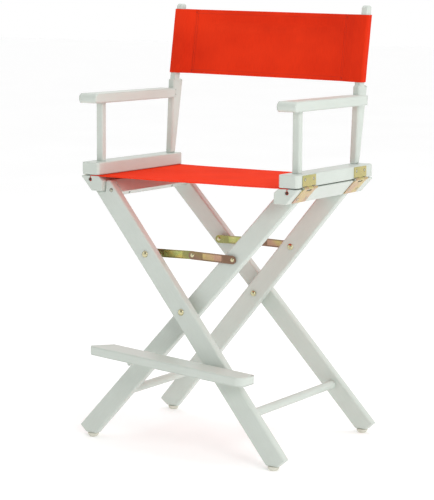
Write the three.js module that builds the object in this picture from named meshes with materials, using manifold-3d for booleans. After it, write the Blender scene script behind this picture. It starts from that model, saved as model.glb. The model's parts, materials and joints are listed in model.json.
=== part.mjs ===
// A folding director chair on counter-height legs, as named solids for three.js.
// Millimetres, +Z up. The chair faces -Y, and +X is the side where the outer frame's feet stand.
// Two crossed frames turn on the centre pivots; arms are hinged to the seat rails.

import * as THREE from 'three';
import { mergeVertices } from 'three/addons/utils/BufferGeometryUtils.js';
import Module from 'manifold-3d';

const wasm = await Module();
wasm.setup();

// ---------------------------------------------------------------- driving dimensions

const GAP = 0.3; // clearance between neighbouring pieces

const OVERALL_HEIGHT = 1003.3;
const OVERALL_DEPTH = 482.6;

const LEG = {
  angle: THREE.MathUtils.degToRad(41), // off vertical, unfolded
  pivotHeight: 321,
  width: 46,
  thickness: 21,
  footEnd: 412, // from the pivot to the square-cut end
  chamfer: 2.5,
  outerY: 210, // centre of the outer legs at floor level
  innerY: 172, // centre of the inner legs at floor level
  lean: 0.10, // legs stand further apart at the floor than at the seat
};

const GLIDE = { radius: 13.25, height: 9.5, x: 255, stemRadius: 3, stemDepth: 9 };

const SEAT_RAIL = {
  top: 612,
  bottom: 578,
  outer: 285.5,
  innerTop: 238,
  inner: 227,
  bottomOuter: 257,
  innerCorner: 602,
  front: -173,
  rear: 181,
  slotX: 260,
  slotWidth: 2.6,
  channelRadius: 4.3,
  channelZ: 603.6,
};

const CLEAT_END = 319; // from the pivot to the cleat's lower end
const CLEAT_TOP = 603;
const CLEAT_THICKNESS = 15;

const ROD = { radius: 2.7, overhang: 3 };
const CANVAS = 1.0; // thickness of the seat cloth

const ARM = {
  outer: 285.5,
  inner: 237,
  railBottom: 614,
  railTop: 643,
  restBottom: 778,
  restTop: 801,
  restFront: -183,
  restCorner: 5,
};

const FRONT_POST = { x: 260, y: -129, width: 18, depth: 16, chamfer: 2 };

const REAR_POST = {
  x: 253,
  width: 18,
  foot: [142, 160], // front and rear edge at the arm rail
  shoulder: [153, 193], // front and rear edge at the shoulder
  shoulderZ: 822,
  tenon: [159, 179], // front and rear edge of the tenon where it starts
  rake: 0.17,
  chamfer: 3,
};

const BACK = {
  bottom: 838,
  top: 991,
  outer: 264.6,
  sleeveInner: 241,
  seam: 206,
  cloth: 1.2,
  panel: 1.4,
};

const HINGE = {
  x: 289,
  z: 613,
  radius: 3.2,
  pinRadius: 1.6,
  plate: 1.6,
  length: 58,
  centres: [-122, 116],
  height: 24,
  lowerHeight: 36,
};

const BRACE = {
  reach: 161, // from the centre pivot to the brace pivot, along the leg
  rise: 2, // how far the middle rivet stands above the end pivots
  halfWidth: 9.5,
  plate: 1.8,
  rivetRadius: 3,
  backLayer: [-141.4, -139.6], // link on the outer leg
  frontLayer: [-143.9, -142.1], // link on the inner leg
};

const BOLT = { shank: 3.5, head: 7.5, dome: 3.6, clearance: 0.35 };

const STRETCHER = { reach: 279, radius: 9.8 };

const FOOTREST = {
  thickness: 21,
  topAtCentre: 220,
  tilt: THREE.MathUtils.degToRad(4.2), // lower end towards +X
  half: 203,
  backLeft: 174, // the left end runs at a slant
  corner: 6,
  round: 22, // radius of the front right corner
  boltDepth: 24,
  spacer: 5.5,
  pinRadius: 5,
  pinLap: 38,
};

// ---------------------------------------------------------------- worked-out values

const SIN = Math.sin(LEG.angle);
const COS = Math.cos(LEG.angle);
const HALF = LEG.width / 2;
const HALF_THICK = LEG.thickness / 2;
const REAR_EXTENT = LEG.outerY - LEG.lean * GLIDE.height + GLIDE.radius;
const FOOTREST_FRONT = REAR_EXTENT - OVERALL_DEPTH;
const CENTRE_SHIFT = OVERALL_DEPTH / 2 - REAR_EXTENT; // puts the box centre on Y = 0

const braceX = BRACE.reach * SIN;
const braceZ = LEG.pivotHeight + BRACE.reach * COS;
const linkLength = Math.hypot(braceX, BRACE.rise);
const faceNormal = new THREE.Vector3(0, -1, LEG.lean).normalize(); // front legs' outward normal

/** The Y of a front leg's plane at height z; offset is measured towards the rear. */
const frontPlane = (legY, z, offset = 0) => -legY + LEG.lean * z + offset;

/** A point of the outer leg, from the distance down its axis and across it, in X and Z. */
function legPoint(down, across) {
  return [
    down * SIN + across * COS,
    LEG.pivotHeight - down * COS + across * SIN,
  ];
}

/** The X of the outer leg's edge at height z, on one side (+1 or -1) of its axis. */
function legEdgeX(z, side) {
  return (LEG.pivotHeight - z) * SIN / COS + side * HALF / COS;
}

// ---------------------------------------------------------------- geometry helpers

function cleaned(geometry) {
  const copy = geometry.clone();
  copy.deleteAttribute('normal');
  copy.deleteAttribute('uv');
  return mergeVertices(copy, 1e-4);
}

function toSolid(geometry) {
  const source = cleaned(geometry);
  return new wasm.Manifold(new wasm.Mesh({
    numProp: 3,
    vertProperties: new Float32Array(source.attributes.position.array),
    triVerts: new Uint32Array(source.index.array),
  }));
}

function fromSolid(solid) {
  const mesh = solid.getMesh();
  const geometry = new THREE.BufferGeometry();
  geometry.setAttribute('position', new THREE.BufferAttribute(mesh.vertProperties, 3));
  geometry.setIndex(new THREE.BufferAttribute(mesh.triVerts, 1));
  return geometry;
}

function combine(how, first, others) {
  return fromSolid(others.reduce((solid, other) => solid[how](toSolid(other)), toSolid(first)));
}

const union = (first, ...others) => combine('add', first, others);
const cut = (first, ...others) => combine('subtract', first, others);
const keepInside = (first, ...others) => combine('intersect', first, others);

/** Swaps a geometry's handedness along one axis, keeping its faces outward. */
function mirrored(geometry, axis) {
  const copy = cleaned(geometry);
  copy.scale(axis === 'x' ? -1 : 1, axis === 'y' ? -1 : 1, 1);
  const index = copy.index.array;
  for (let i = 0; i < index.length; i += 3) {
    [index[i + 1], index[i + 2]] = [index[i + 2], index[i + 1]];
  }
  return copy;
}

/** Extrudes an outline of [x, z] points along Y, from y0 to y1. */
function prismY(outline, y0, y1, chamfer = 0) {
  const shape = new THREE.Shape(outline.map(([x, z]) => new THREE.Vector2(x, z)));
  const geometry = new THREE.ExtrudeGeometry(shape, {
    depth: y1 - y0 - 2 * chamfer,
    bevelEnabled: chamfer > 0,
    bevelThickness: chamfer,
    bevelSize: chamfer,
    bevelOffset: -chamfer,
    bevelSegments: 1,
  });
  geometry.rotateX(Math.PI / 2);
  geometry.translate(0, y1 - chamfer, 0);
  return geometry;
}

/** Extrudes an outline of [x, y] points upwards, from z0 to z1. */
function prismZ(outline, z0, z1, chamfer = 0) {
  const shape = new THREE.Shape(outline.map(([x, y]) => new THREE.Vector2(x, y)));
  const geometry = new THREE.ExtrudeGeometry(shape, {
    depth: z1 - z0 - 2 * chamfer,
    bevelEnabled: chamfer > 0,
    bevelThickness: chamfer,
    bevelSize: chamfer,
    bevelOffset: -chamfer,
    bevelSegments: 1,
  });
  geometry.translate(0, 0, z0 + chamfer);
  return geometry;
}

/** Extrudes an outline of [y, z] points along X, from x0 to x1. */
function prismX(outline, x0, x1, chamfer = 0) {
  const shape = new THREE.Shape(outline.map(([y, z]) => new THREE.Vector2(y, z)));
  const geometry = new THREE.ExtrudeGeometry(shape, {
    depth: x1 - x0 - 2 * chamfer,
    bevelEnabled: chamfer > 0,
    bevelThickness: chamfer,
    bevelSize: chamfer,
    bevelOffset: -chamfer,
    bevelSegments: 1,
  });
  geometry.rotateZ(Math.PI / 2);
  geometry.rotateY(Math.PI / 2);
  geometry.translate(x0 + chamfer, 0, 0);
  return geometry;
}

function box(x0, x1, y0, y1, z0, z1) {
  const geometry = new THREE.BoxGeometry(x1 - x0, y1 - y0, z1 - z0);
  geometry.translate((x0 + x1) / 2, (y0 + y1) / 2, (z0 + z1) / 2);
  return geometry;
}

function cylinderY(radius, y0, y1, x, z, segments = 24) {
  const geometry = new THREE.CylinderGeometry(radius, radius, y1 - y0, segments);
  geometry.translate(x, (y0 + y1) / 2, z);
  return geometry;
}

/** Turns a closed profile of [radius, y] points about the Y axis and moves it to x, z. */
function turnedY(profile, x, z, segments = 24) {
  const points = profile.map(([radius, y]) => new THREE.Vector2(radius, y));
  const geometry = new THREE.LatheGeometry([...points, points[0].clone()], segments);
  geometry.translate(x, 0, z);
  return geometry;
}

/** A rectangle whose four corners are cut off, as [a, b] points. */
function octagon(a0, a1, b0, b1, corner) {
  return [
    [a0 + corner, b0], [a1 - corner, b0], [a1, b0 + corner], [a1, b1 - corner],
    [a1 - corner, b1], [a0 + corner, b1], [a0, b1 - corner], [a0, b0 + corner],
  ];
}

/** Leans a piece drawn upright about the floor line: front pieces lean back as they rise. */
function leaned(geometry, slope = LEG.lean, fromZ = 0) {
  const shear = new THREE.Matrix4().set(
    1, 0, 0, 0,
    0, 1, slope, -slope * fromZ,
    0, 0, 1, 0,
    0, 0, 0, 1,
  );
  return cleaned(geometry).applyMatrix4(shear);
}

// ---------------------------------------------------------------- the group

const chair = new THREE.Group();
chair.name = 'director_chair';

const FINISH = {
  paint: { color: 0xdfe4dd, roughness: 0.4 },
  zinc: { color: 0xb8a468, roughness: 0.35, metalness: 1 },
  glide: { color: 0xe4e2cf, roughness: 0.6 },
  cloth: { color: 0xe2361f, roughness: 0.9 },
  rod: { color: 0x6a4a3a, roughness: 0.6 },
};

function addNode(name, geometry, finish) {
  const final = cleaned(geometry);
  final.translate(0, CENTRE_SHIFT, 0);
  final.computeVertexNormals();
  const mesh = new THREE.Mesh(final, new THREE.MeshStandardMaterial(FINISH[finish]));
  mesh.name = name;
  chair.add(mesh);
}

// ---------------------------------------------------------------- legs

/** The outline of the outer leg in X and Z, notched at the top for the seat rail. */
function legOutline() {
  const notchX = -SEAT_RAIL.inner + GAP;
  const notchZ = SEAT_RAIL.bottom - GAP;
  const corner = legPoint(LEG.footEnd, HALF);
  const flatEnd = legPoint(LEG.footEnd, HALF - (corner[1] - GLIDE.height) / SIN);
  return [
    [legEdgeX(notchZ, -1), notchZ],
    [legEdgeX(GLIDE.height, -1), GLIDE.height],
    flatEnd,
    corner,
    [legEdgeX(CLEAT_TOP, 1), CLEAT_TOP],
    [notchX, CLEAT_TOP],
    [notchX, notchZ],
  ];
}

/** A front leg of the outer frame, centred on y = -legY at the floor, with its holes. */
function frontLeg(legY) {
  const blank = prismY(legOutline(), -legY - HALF_THICK, -legY + HALF_THICK, LEG.chamfer);
  const upright = (radius, x, z) => {
    const y = frontPlane(legY, z);
    return cylinderY(radius, y - 30, y + 30, x, z);
  };
  const holes = [
    upright(BOLT.shank + BOLT.clearance, 0, LEG.pivotHeight),
    upright(BRACE.rivetRadius + BOLT.clearance, -braceX, braceZ),
  ];
  const socket = new THREE.CylinderGeometry(
    GLIDE.stemRadius + GAP, GLIDE.stemRadius + GAP, 2 * (GLIDE.stemDepth + GAP), 20,
  );
  socket.rotateX(Math.PI / 2);
  socket.translate(GLIDE.x, frontPlane(legY, GLIDE.height), GLIDE.height);
  return cut(leaned(blank), ...holes, socket);
}

/** The solid that fits between a frame's two legs, used to trim what joins them. */
function betweenLegs(legY) {
  const inner = legY - HALF_THICK - GAP;
  const top = 640;
  return prismX([
    [-inner, 0], [inner, 0],
    [inner - LEG.lean * top, top], [-inner + LEG.lean * top, top],
  ], -400, 400);
}

/** The board between a frame's legs, flush with their upper edge and against the rail. */
function cleat(legY) {
  const back = HALF - CLEAT_THICKNESS;
  const railX = -SEAT_RAIL.inner + GAP;
  const outline = [
    [railX, LEG.pivotHeight + (back - railX * COS) / SIN],
    legPoint(-CLEAT_END, back),
    legPoint(-CLEAT_END, HALF),
    [legEdgeX(CLEAT_TOP, 1), CLEAT_TOP],
    [railX, CLEAT_TOP],
  ];
  return keepInside(prismY(outline, -200, 200), betweenLegs(legY));
}

function stretcher(legY) {
  const [x, z] = legPoint(STRETCHER.reach, 0);
  return keepInside(cylinderY(STRETCHER.radius, -220, 220, x, z, 32), betweenLegs(legY));
}

function glide(legY) {
  const { radius, height, stemRadius, stemDepth } = GLIDE;
  const top = height - GAP;
  const body = new THREE.LatheGeometry([
    [0, 0], [radius - 2.5, 0], [radius, 2.2], [radius - 0.6, 4.2], [radius - 3, top],
    [stemRadius, top], [stemRadius, height + stemDepth - GAP], [0, height + stemDepth - GAP],
    [0, 0],
  ].map(([r, z]) => new THREE.Vector2(r, z)), 32);
  body.rotateX(Math.PI / 2);
  body.translate(GLIDE.x, frontPlane(legY, GLIDE.height), 0);
  return body;
}

// ---------------------------------------------------------------- seat rails and rods

function seatRail() {
  const r = SEAT_RAIL;
  const outline = [
    [-r.outer, r.top - 2], [-r.bottomOuter, r.bottom], [-r.inner, r.bottom],
    [-r.inner, r.innerCorner], [-r.innerTop, r.top], [-r.outer + 2, r.top],
  ];
  const channel = cylinderY(r.channelRadius, r.front - 5, r.rear + 5, -r.slotX, r.channelZ, 28);
  const slit = box(
    -r.slotX - r.slotWidth / 2, -r.slotX + r.slotWidth / 2,
    r.front - 5, r.rear + 5, r.channelZ, r.top + 5,
  );
  return cut(prismY(outline, r.front, r.rear, 1), channel, slit);
}

function seatRod() {
  return cylinderY(
    ROD.radius, SEAT_RAIL.front - ROD.overhang, SEAT_RAIL.rear + ROD.overhang,
    -SEAT_RAIL.slotX, SEAT_RAIL.channelZ, 20,
  );
}

function seatCanvas() {
  const r = SEAT_RAIL;
  const front = r.front + 1;
  const rear = r.rear - 1;
  const low = r.top + GAP;
  const inner = ROD.radius + GAP;
  const sheet = box(-r.slotX - CANVAS / 2, r.slotX + CANVAS / 2, front, rear, low, low + CANVAS);
  const pieces = [-1, 1].flatMap((side) => {
    const x = side * r.slotX;
    return [
      box(x - CANVAS / 2, x + CANVAS / 2, front, rear, r.channelZ + inner + 0.2, low + 0.5),
      cylinderY(inner + CANVAS, front, rear, x, r.channelZ, 28),
    ];
  });
  const bores = [-1, 1].map((side) => (
    cylinderY(inner, front - 5, rear + 5, side * r.slotX, r.channelZ, 28)
  ));
  return cut(union(sheet, ...pieces), ...bores);
}

// ---------------------------------------------------------------- arms

function armRail() {
  const outline = octagon(-ARM.outer, -ARM.inner, SEAT_RAIL.front, SEAT_RAIL.rear, 5);
  return prismZ(outline, ARM.railBottom, ARM.railTop, 1.5);
}

function frontPost() {
  const { x, y, width, depth, chamfer } = FRONT_POST;
  const outline = octagon(-x - width / 2, -x + width / 2, y - depth / 2, y + depth / 2, chamfer);
  return prismZ(outline, ARM.railTop + GAP, ARM.restBottom - GAP);
}

function rearPost() {
  const p = REAR_POST;
  const rise = OVERALL_HEIGHT - p.shoulderZ;
  const outline = [
    [p.foot[0], ARM.railTop + GAP], [p.foot[1], ARM.railTop + GAP],
    [p.shoulder[1], p.shoulderZ - 3], [p.shoulder[1] - 3, p.shoulderZ],
    [p.tenon[1], p.shoulderZ],
    [p.tenon[1] + p.rake * (rise - 4), OVERALL_HEIGHT - 4],
    [p.tenon[1] + p.rake * rise - 4, OVERALL_HEIGHT],
    [p.tenon[0] + p.rake * rise + 4, OVERALL_HEIGHT],
    [p.tenon[0] + p.rake * (rise - 4), OVERALL_HEIGHT - 4],
    [p.tenon[0], p.shoulderZ], [p.shoulder[0], p.shoulderZ],
  ];
  return prismX(outline, -p.x - p.width / 2, -p.x + p.width / 2, p.chamfer);
}

/** The Y of the rear post's front edge at height z, below the shoulder. */
function postFrontY(z) {
  const start = ARM.railTop + GAP;
  const share = (z - start) / (REAR_POST.shoulderZ - start);
  return REAR_POST.foot[0] + share * (REAR_POST.shoulder[0] - REAR_POST.foot[0]);
}

function armrest() {
  const nose = 6;
  const rear = (z) => postFrontY(z) - GAP;
  return prismX([
    [ARM.restFront + nose, ARM.restBottom], [rear(ARM.restBottom), ARM.restBottom],
    [rear(ARM.restTop), ARM.restTop], [ARM.restFront + nose + 3, ARM.restTop],
    [ARM.restFront + 2, ARM.restTop - 5], [ARM.restFront, ARM.restTop - 11],
    [ARM.restFront + 1, ARM.restBottom + 5],
  ], -ARM.outer, -ARM.inner, 2);
}

// ---------------------------------------------------------------- arm hinges

function knuckle(y0, y1) {
  return cylinderY(HINGE.radius, y0, y1, -HINGE.x, HINGE.z, 24);
}

/** The knuckles' ends along Y: two outer ones for the lower leaf, a middle one for the upper. */
function knuckleSpans(centre) {
  const start = centre - HINGE.length / 2;
  const step = HINGE.length / 3;
  return [0, 1, 2].map((i) => [
    start + i * step + (i > 0 ? GAP / 2 : 0),
    start + (i + 1) * step - (i < 2 ? GAP / 2 : 0),
  ]);
}

function pinBore(centre) {
  const reach = HINGE.length;
  return cylinderY(HINGE.pinRadius + GAP, centre - reach, centre + reach, -HINGE.x, HINGE.z, 20);
}

function upperLeaf(centre) {
  const [, middle] = knuckleSpans(centre);
  const face = -ARM.outer - GAP;
  const plate = box(
    face - HINGE.plate, face, centre - HINGE.length / 2, centre + HINGE.length / 2,
    HINGE.z + 4.2, HINGE.z + 4.2 + HINGE.height,
  );
  const neck = box(face - HINGE.plate, face, ...middle, HINGE.z, HINGE.z + 5);
  return cut(union(plate, neck, knuckle(...middle)), pinBore(centre));
}

/** The lower leaf, on the seat rail's slanting outer face. */
function lowerLeaf(centre) {
  const [first, , last] = knuckleSpans(centre);
  const top = new THREE.Vector2(-SEAT_RAIL.outer, SEAT_RAIL.top - 2);
  const low = new THREE.Vector2(-SEAT_RAIL.bottomOuter, SEAT_RAIL.bottom);
  const along = low.clone().sub(top).normalize();
  const out = new THREE.Vector2(along.y, -along.x);
  const at = (down, away) => {
    const p = top.clone().addScaledVector(along, down).addScaledVector(out, away);
    return [p.x, p.y];
  };
  const outline = [
    at(4, GAP), at(4 + HINGE.lowerHeight, GAP),
    at(4 + HINGE.lowerHeight, GAP + HINGE.plate), at(4, GAP + HINGE.plate),
  ];
  const start = centre - HINGE.length / 2;
  const plate = prismY(outline, start, start + HINGE.length);
  const neck = [
    at(5, GAP), at(5, GAP + HINGE.plate),
    [-HINGE.x - 1.2, HINGE.z - 2.4], [-HINGE.x + 1.8, HINGE.z - 2.2],
  ];
  const pieces = [first, last].flatMap((span) => [knuckle(...span), prismY(neck, ...span)]);
  return cut(union(plate, ...pieces), pinBore(centre));
}

function hingePin(centre) {
  const { length, pinRadius, radius } = HINGE;
  const front = centre - length / 2;
  const rear = centre + length / 2;
  return turnedY([
    [0, front - 1.8], [radius - 0.4, front - 1.8], [radius - 0.4, front - GAP],
    [pinRadius, front - GAP], [pinRadius, rear + 3.5], [pinRadius - 0.6, rear + 4.2],
    [0, rear + 4.2],
  ], -HINGE.x, HINGE.z, 20);
}

// ---------------------------------------------------------------- back sleeves and panel

function sleeve() {
  const { cloth, outer, sleeveInner, seam } = BACK;
  const p = REAR_POST;
  const middle = (p.tenon[0] + p.tenon[1]) / 2;
  const half = (p.tenon[1] - p.tenon[0]) / 2 + 0.6;
  const skin = half + cloth;
  const outline = [
    [-outer, middle - skin], [-sleeveInner, middle - skin], [-seam, middle - 1.4],
    [-seam, middle + 1.4], [-sleeveInner, middle + skin], [-outer, middle + skin],
  ];
  const hollow = box(
    -p.x - p.width / 2 - 0.6, -p.x + p.width / 2 + 0.6,
    middle - half, middle + half, BACK.bottom - 5, BACK.top + 5,
  );
  return leaned(
    cut(prismZ(outline, BACK.bottom, BACK.top), hollow), p.rake, p.shoulderZ,
  );
}

function backPanel() {
  const p = REAR_POST;
  const middle = (p.tenon[0] + p.tenon[1]) / 2;
  const half = BACK.panel / 2;
  const reach = BACK.seam - GAP;
  const sheet = box(-reach, reach, middle - half, middle + half, BACK.bottom, BACK.top);
  return leaned(sheet, p.rake, p.shoulderZ);
}

// ---------------------------------------------------------------- bolts and braces

/** A bolt through the front legs at the centre pivot: dome, shank, spacer collar and nut. */
function pivotBolt() {
  const z = LEG.pivotHeight;
  const { shank, head, dome } = BOLT;
  const headFace = frontPlane(LEG.outerY, z, -HALF_THICK) - 0.9;
  const nutFace = frontPlane(LEG.innerY, z, HALF_THICK) + 0.9;
  return turnedY([
    [0, headFace - dome], [head * 0.45, headFace - dome * 0.88],
    [head * 0.8, headFace - dome * 0.5], [head, headFace], [shank, headFace],
    [shank, nutFace], [head - 0.5, nutFace], [head - 0.5, nutFace + 2.5],
    [head * 0.7, nutFace + 4.6], [0, nutFace + 5.6],
  ], 0, z);
}

/** The spacer between the crossed front legs. */
function pivotSpacer() {
  const z = LEG.pivotHeight;
  const front = frontPlane(LEG.outerY, z, HALF_THICK) + 1.3;
  const rear = frontPlane(LEG.innerY, z, -HALF_THICK) - 1.3;
  const bore = BOLT.shank + BOLT.clearance;
  return turnedY([[bore, front], [10, front], [10, rear], [bore, rear]], 0, z);
}

/** The brace pivot on the front outer leg; its head is outside and its tip holds the link. */
function outerBraceBolt() {
  const x = -braceX;
  const z = braceZ;
  const { rivetRadius, backLayer } = BRACE;
  const { head, dome } = BOLT;
  const face = frontPlane(LEG.outerY, z, -HALF_THICK) - 0.8;
  const seat = frontPlane(LEG.outerY, z, HALF_THICK) + 0.8;
  const link = backLayer[0] - GAP;
  const tip = backLayer[1] + GAP;
  return turnedY([
    [0, face - dome], [head * 0.45, face - dome * 0.88], [head * 0.8, face - dome * 0.5],
    [head, face], [rivetRadius, face], [rivetRadius, seat], [5.2, seat], [5.2, link],
    [rivetRadius, link], [rivetRadius, tip], [4.6, tip], [3.8, tip + 1.2], [0, tip + 1.4],
  ], x, z);
}

/** The brace pivot on the front inner leg, mirrored to +X; its link is in front of the leg. */
function innerBraceBolt() {
  const x = braceX;
  const z = braceZ;
  const { rivetRadius, frontLayer } = BRACE;
  const { head, dome } = BOLT;
  const face = frontPlane(LEG.innerY, z, HALF_THICK) + 0.8;
  const seat = frontPlane(LEG.innerY, z, -HALF_THICK) - 0.8;
  const link = frontLayer[1] + GAP;
  const tip = frontLayer[0] - GAP;
  return turnedY([
    [0, tip - 1.4], [3.8, tip - 1.2], [4.6, tip], [rivetRadius, tip], [rivetRadius, link],
    [5.2, link], [5.2, Math.max(seat, link + 0.5)], [rivetRadius, Math.max(seat, link + 0.5)],
    [rivetRadius, face], [head, face], [head * 0.8, face + dome * 0.5],
    [head * 0.45, face + dome * 0.88], [0, face + dome],
  ], x, z);
}

/** One link of the front brace from its leg pivot at -X to the middle rivet. */
function braceLink([y0, y1], rivetSide) {
  const { halfWidth, rivetRadius, rise } = BRACE;
  const angle = Math.atan2(rise, braceX);
  const steps = 10;
  const outline = [];
  for (let i = 0; i <= steps; i += 1) {
    const a = Math.PI / 2 + Math.PI * i / steps;
    outline.push([halfWidth * Math.cos(a), halfWidth * Math.sin(a)]);
  }
  for (let i = 0; i <= steps; i += 1) {
    const a = -Math.PI / 2 + Math.PI * i / steps;
    outline.push([linkLength + halfWidth * Math.cos(a), halfWidth * Math.sin(a)]);
  }
  const turn = ([x, z]) => [
    -braceX + x * Math.cos(angle) - z * Math.sin(angle),
    braceZ + x * Math.sin(angle) + z * Math.cos(angle),
  ];
  const plate = prismY(outline.map(turn), y0, y1);
  const pivot = cylinderY(rivetRadius + GAP, y0 - 5, y1 + 5, -braceX, braceZ, 24);
  const outer = rivetSide < 0 ? y0 : y1;
  const profile = [
    [0, outer + rivetSide * 1.3], [3.6, outer + rivetSide * 1.1], [4.8, outer],
    [4.8, outer - rivetSide * 0.5], [0, outer - rivetSide * 0.5],
  ];
  if (rivetSide > 0) profile.reverse();
  const head = turnedY(profile, 0, braceZ + rise);
  return cut(union(plate, head), pivot);
}

// ---------------------------------------------------------------- footrest

/** The height of the footrest's mid-plane at x. */
const boardMid = (x) => FOOTREST.topAtCentre - FOOTREST.thickness / 2 - x * Math.tan(FOOTREST.tilt);

/** Where the footrest turns on the front outer leg, in X and Z. */
function footrestPivot() {
  const slope = Math.tan(FOOTREST.tilt);
  const x = (LEG.pivotHeight - boardMid(0)) / (COS / SIN - slope);
  return [x, boardMid(x)];
}

/** A cylinder or turned piece about the leg face's normal, through the footrest pivot. */
function alongNormal(geometry) {
  const [x, z] = footrestPivot();
  const y = frontPlane(LEG.outerY, z, -HALF_THICK);
  const turn = new THREE.Quaternion().setFromUnitVectors(new THREE.Vector3(0, 1, 0), faceNormal);
  geometry.applyQuaternion(turn);
  geometry.translate(x, y, z);
  return geometry;
}

function footrestBoard() {
  const f = FOOTREST;
  const back = frontPlane(LEG.outerY, boardMid(0), -HALF_THICK) - f.spacer;
  const front = FOOTREST_FRONT;
  const spare = 12;
  const outline = [
    [-f.backLeft, back + spare], [-f.backLeft, back],
    [-f.half + 3, front + f.corner + 5], [-f.half + 1, front + f.corner],
    [-f.half + f.corner, front],
  ];
  for (let i = 0; i <= 6; i += 1) {
    const a = -Math.PI / 2 + Math.PI / 2 * i / 6;
    outline.push([f.half - f.round * (1 - Math.cos(a)), front + f.round * (1 + Math.sin(a))]);
  }
  outline.push([f.half, back], [f.half, back + spare]);
  const blank = prismZ(outline, -f.thickness / 2, f.thickness / 2, 2);
  const tilt = new THREE.Matrix4().set(
    1, 0, 0, 0,
    0, 1, 0, 0,
    -Math.tan(f.tilt), 0, 1, boardMid(0),
    0, 0, 0, 1,
  );
  blank.applyMatrix4(tilt);
  const clearance = f.spacer / Math.sqrt(1 + LEG.lean ** 2);
  const planeAt = (z) => frontPlane(LEG.outerY, z, -HALF_THICK) - clearance;
  const trim = prismX([
    [planeAt(0), 0], [planeAt(500), 500], [200, 500], [200, 0],
  ], -400, 400);
  const bore = alongNormal(cylinderAlong(BOLT.shank + BOLT.clearance, -5, f.boltDepth + GAP));
  return cut(blank, trim, bore);
}

/** A cylinder along +Y from one distance to another, before it is turned and placed. */
function cylinderAlong(radius, from, to) {
  const geometry = new THREE.CylinderGeometry(radius, radius, to - from, 24);
  geometry.translate(0, (from + to) / 2, 0);
  return geometry;
}

function footrestBolt() {
  const { shank, head } = BOLT;
  const back = -LEG.thickness / Math.sqrt(1 + LEG.lean ** 2) - GAP;
  const collar = GAP;
  const collarEnd = FOOTREST.spacer / Math.sqrt(1 + LEG.lean ** 2) - GAP;
  return alongNormal(turnedY([
    [0, back - 4], [head * 0.7, back - 3], [head, back], [shank, back], [shank, collar],
    [head, collar], [head, collarEnd], [shank, collarEnd], [shank, FOOTREST.boltDepth],
    [0, FOOTREST.boltDepth],
  ], 0, 0));
}

/** Where the support pin meets the front inner leg, just under the footrest. */
function supportPoint() {
  const drop = FOOTREST.thickness / 2 + (FOOTREST.pinRadius + GAP) / Math.cos(FOOTREST.tilt);
  const slope = Math.tan(FOOTREST.tilt);
  const x = -(LEG.pivotHeight - boardMid(0) + drop) / (COS / SIN + slope);
  return [x, boardMid(x) - drop];
}

function supportPin() {
  const [x, z] = supportPoint();
  const { pinRadius, pinLap } = FOOTREST;
  const back = frontPlane(LEG.innerY, z, HALF_THICK) + 1;
  const face = frontPlane(LEG.innerY, z, -HALF_THICK) - 1;
  const tip = frontPlane(LEG.outerY, z, -HALF_THICK) - FOOTREST.spacer - pinLap;
  return turnedY([
    [0, tip], [pinRadius - 1, tip], [pinRadius, tip + 1], [pinRadius, face],
    [BOLT.shank, face], [BOLT.shank, back], [pinRadius, back], [pinRadius, back + 2.5],
    [pinRadius - 1.5, back + 4], [0, back + 4],
  ], x, z);
}

/** Holes of the front legs for the footrest's bolt and its support pin. */
function drilledFrontOuterLeg() {
  const bore = alongNormal(cylinderAlong(BOLT.shank + BOLT.clearance, -40, 10));
  return cut(frontLeg(LEG.outerY), bore);
}

function drilledFrontInnerLeg() {
  const [x, z] = supportPoint();
  const y = frontPlane(LEG.innerY, z);
  const bore = cylinderY(BOLT.shank + BOLT.clearance, y - 30, y + 30, -x, z);
  return cut(frontLeg(LEG.innerY), bore);
}

// ---------------------------------------------------------------- assembly

function addFrame(side, legY, frontGeometry) {
  const place = side === 'outer' ? (g) => g : (g) => mirrored(g, 'x');
  const rail = side === 'outer' ? 'left' : 'right';
  addNode(`${side}_leg_front`, place(frontGeometry), 'paint');
  addNode(`${side}_leg_rear`, place(mirrored(frontLeg(legY), 'y')), 'paint');
  addNode(`${side}_cleat`, place(cleat(legY)), 'paint');
  addNode(`${side}_stretcher`, place(stretcher(legY)), 'paint');
  addNode(`${side}_glide_front`, place(glide(legY)), 'glide');
  addNode(`${side}_glide_rear`, place(mirrored(glide(legY), 'y')), 'glide');
  addNode(`seat_rail_${rail}`, place(seatRail()), 'paint');
  addNode(`seat_rod_${rail}`, place(seatRod()), 'rod');
  ['front', 'rear'].forEach((end, i) => {
    addNode(`hinge_lower_${rail}_${end}`, place(lowerLeaf(HINGE.centres[i])), 'zinc');
    addNode(`hinge_pin_${rail}_${end}`, place(hingePin(HINGE.centres[i])), 'zinc');
  });
}

function addArm(side) {
  const place = side === 'left' ? (g) => g : (g) => mirrored(g, 'x');
  addNode(`arm_rail_${side}`, place(armRail()), 'paint');
  addNode(`front_post_${side}`, place(frontPost()), 'paint');
  addNode(`rear_post_${side}`, place(rearPost()), 'paint');
  addNode(`armrest_${side}`, place(armrest()), 'paint');
  addNode(`back_sleeve_${side}`, place(sleeve()), 'cloth');
  ['front', 'rear'].forEach((end, i) => {
    addNode(`hinge_upper_${side}_${end}`, place(upperLeaf(HINGE.centres[i])), 'zinc');
  });
}

function addBraces() {
  const outerLink = braceLink(BRACE.backLayer, 1);
  const innerLink = mirrored(braceLink(BRACE.frontLayer, -1), 'x');
  const pieces = {
    link_outer: outerLink,
    link_inner: innerLink,
    bolt_outer: outerBraceBolt(),
    bolt_inner: innerBraceBolt(),
  };
  for (const [name, geometry] of Object.entries(pieces)) {
    addNode(`brace_${name}_front`, geometry, 'zinc');
    addNode(`brace_${name}_rear`, mirrored(geometry, 'y'), 'zinc');
  }
}

function addPivots() {
  addNode('pivot_bolt_front', pivotBolt(), 'zinc');
  addNode('pivot_bolt_rear', mirrored(pivotBolt(), 'y'), 'zinc');
  addNode('pivot_spacer_front', pivotSpacer(), 'zinc');
  addNode('pivot_spacer_rear', mirrored(pivotSpacer(), 'y'), 'zinc');
}

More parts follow.
